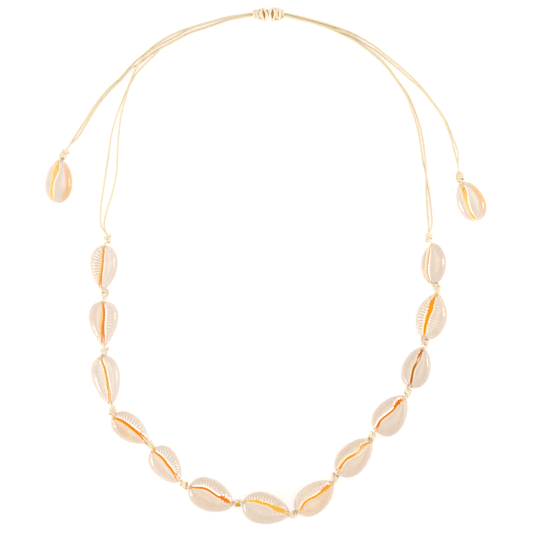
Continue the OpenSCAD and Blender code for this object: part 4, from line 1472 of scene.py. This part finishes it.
# %% [markdown]
# The light is that of a white light tent: an even pale world, with a brighter band low
# down all round that draws the thin highlights along both flanks of every shell. Ring
# lamps could draw them too, but would throw shadows. The band is a product of two
# ramps over the height of the world's own direction.

# %% Light tent
WORLD_LEVEL, BAND_LEVEL = 0.61, 1.1
BAND_RISES, BAND_FALLS = (0.12, 0.22), (0.34, 0.46)
PURE_WHITE = (1, 1, 1, 1)


def tent_world():
    world = bpy.data.worlds.new("light_tent")
    world.use_nodes = True
    tree = world.node_tree
    place = new_node(tree, "ShaderNodeTexCoord").outputs["Generated"]
    split = new_node(tree, "ShaderNodeSeparateXYZ")
    tree.links.new(place, split.inputs[0])
    band = product(tree, ramped(tree, split.outputs["Z"], *BAND_RISES),
                   ramped(tree, split.outputs["Z"], *BAND_FALLS, 1.0, 0.0))
    level = ramped(tree, band, 0.0, 1.0, WORLD_LEVEL, BAND_LEVEL)
    feed(tree, tree.nodes["Background"].inputs, {"Strength": level, "Color": PURE_WHITE})
    return world


bpy.context.scene.world = tent_world()
print("world", bpy.context.scene.world.name)

# %% [markdown]
# The floor gives off a little light of its own, so that it stays white and shadows
# nearly vanish, as on a light table. One large softbox hangs overhead, and two small
# strips low down at the sides put a short bright line on each shell.

# %% Floor and softboxes
FLOOR_WHITE, FLOOR_GLOW, FLOOR_HALF = 0.6, 0.52, 1.5


def floor_piece():
    mesh = bpy.data.meshes.new("floor")
    r = FLOOR_HALF
    mesh.from_pydata([(-r, -r, 0), (r, -r, 0), (r, r, 0), (-r, r, 0)], [], [(0, 1, 2, 3)])
    material, tree, inputs = new_material("white_floor", 0.8)
    feed(tree, inputs, {"Base Color": (FLOOR_WHITE, FLOOR_WHITE, FLOOR_WHITE, 1),
                        "Emission Color": PURE_WHITE, "Emission Strength": FLOOR_GLOW,
                        "Specular IOR Level": 0.0})
    mesh.materials.append(material)
    in_scene(bpy.data.objects.new("floor", mesh))


def softbox(name, place, wide, tall, watts):
    """A rectangle of even light that faces the choker."""
    data = bpy.data.lights.new(name, "AREA")
    data.shape = "RECTANGLE"
    data.size, data.size_y = wide, tall
    data.energy = watts
    obj = in_scene(bpy.data.objects.new(name, data))
    obj.location = place
    obj.rotation_euler = (-Vector(place)).to_track_quat("-Z", "Y").to_euler()


floor_piece()
softbox("overhead_softbox", (0.1, 0.15, 1.3), wide=0.9, tall=0.9, watts=3.2)
softbox("left_strip", (-1.3, -0.55, 0.5), wide=0.45, tall=0.25, watts=5.0)
softbox("right_strip", (1.4, 0.1, 0.5), wide=0.5, tall=0.25, watts=4.0)
bpy.context.scene.view_settings.view_transform = "Standard"
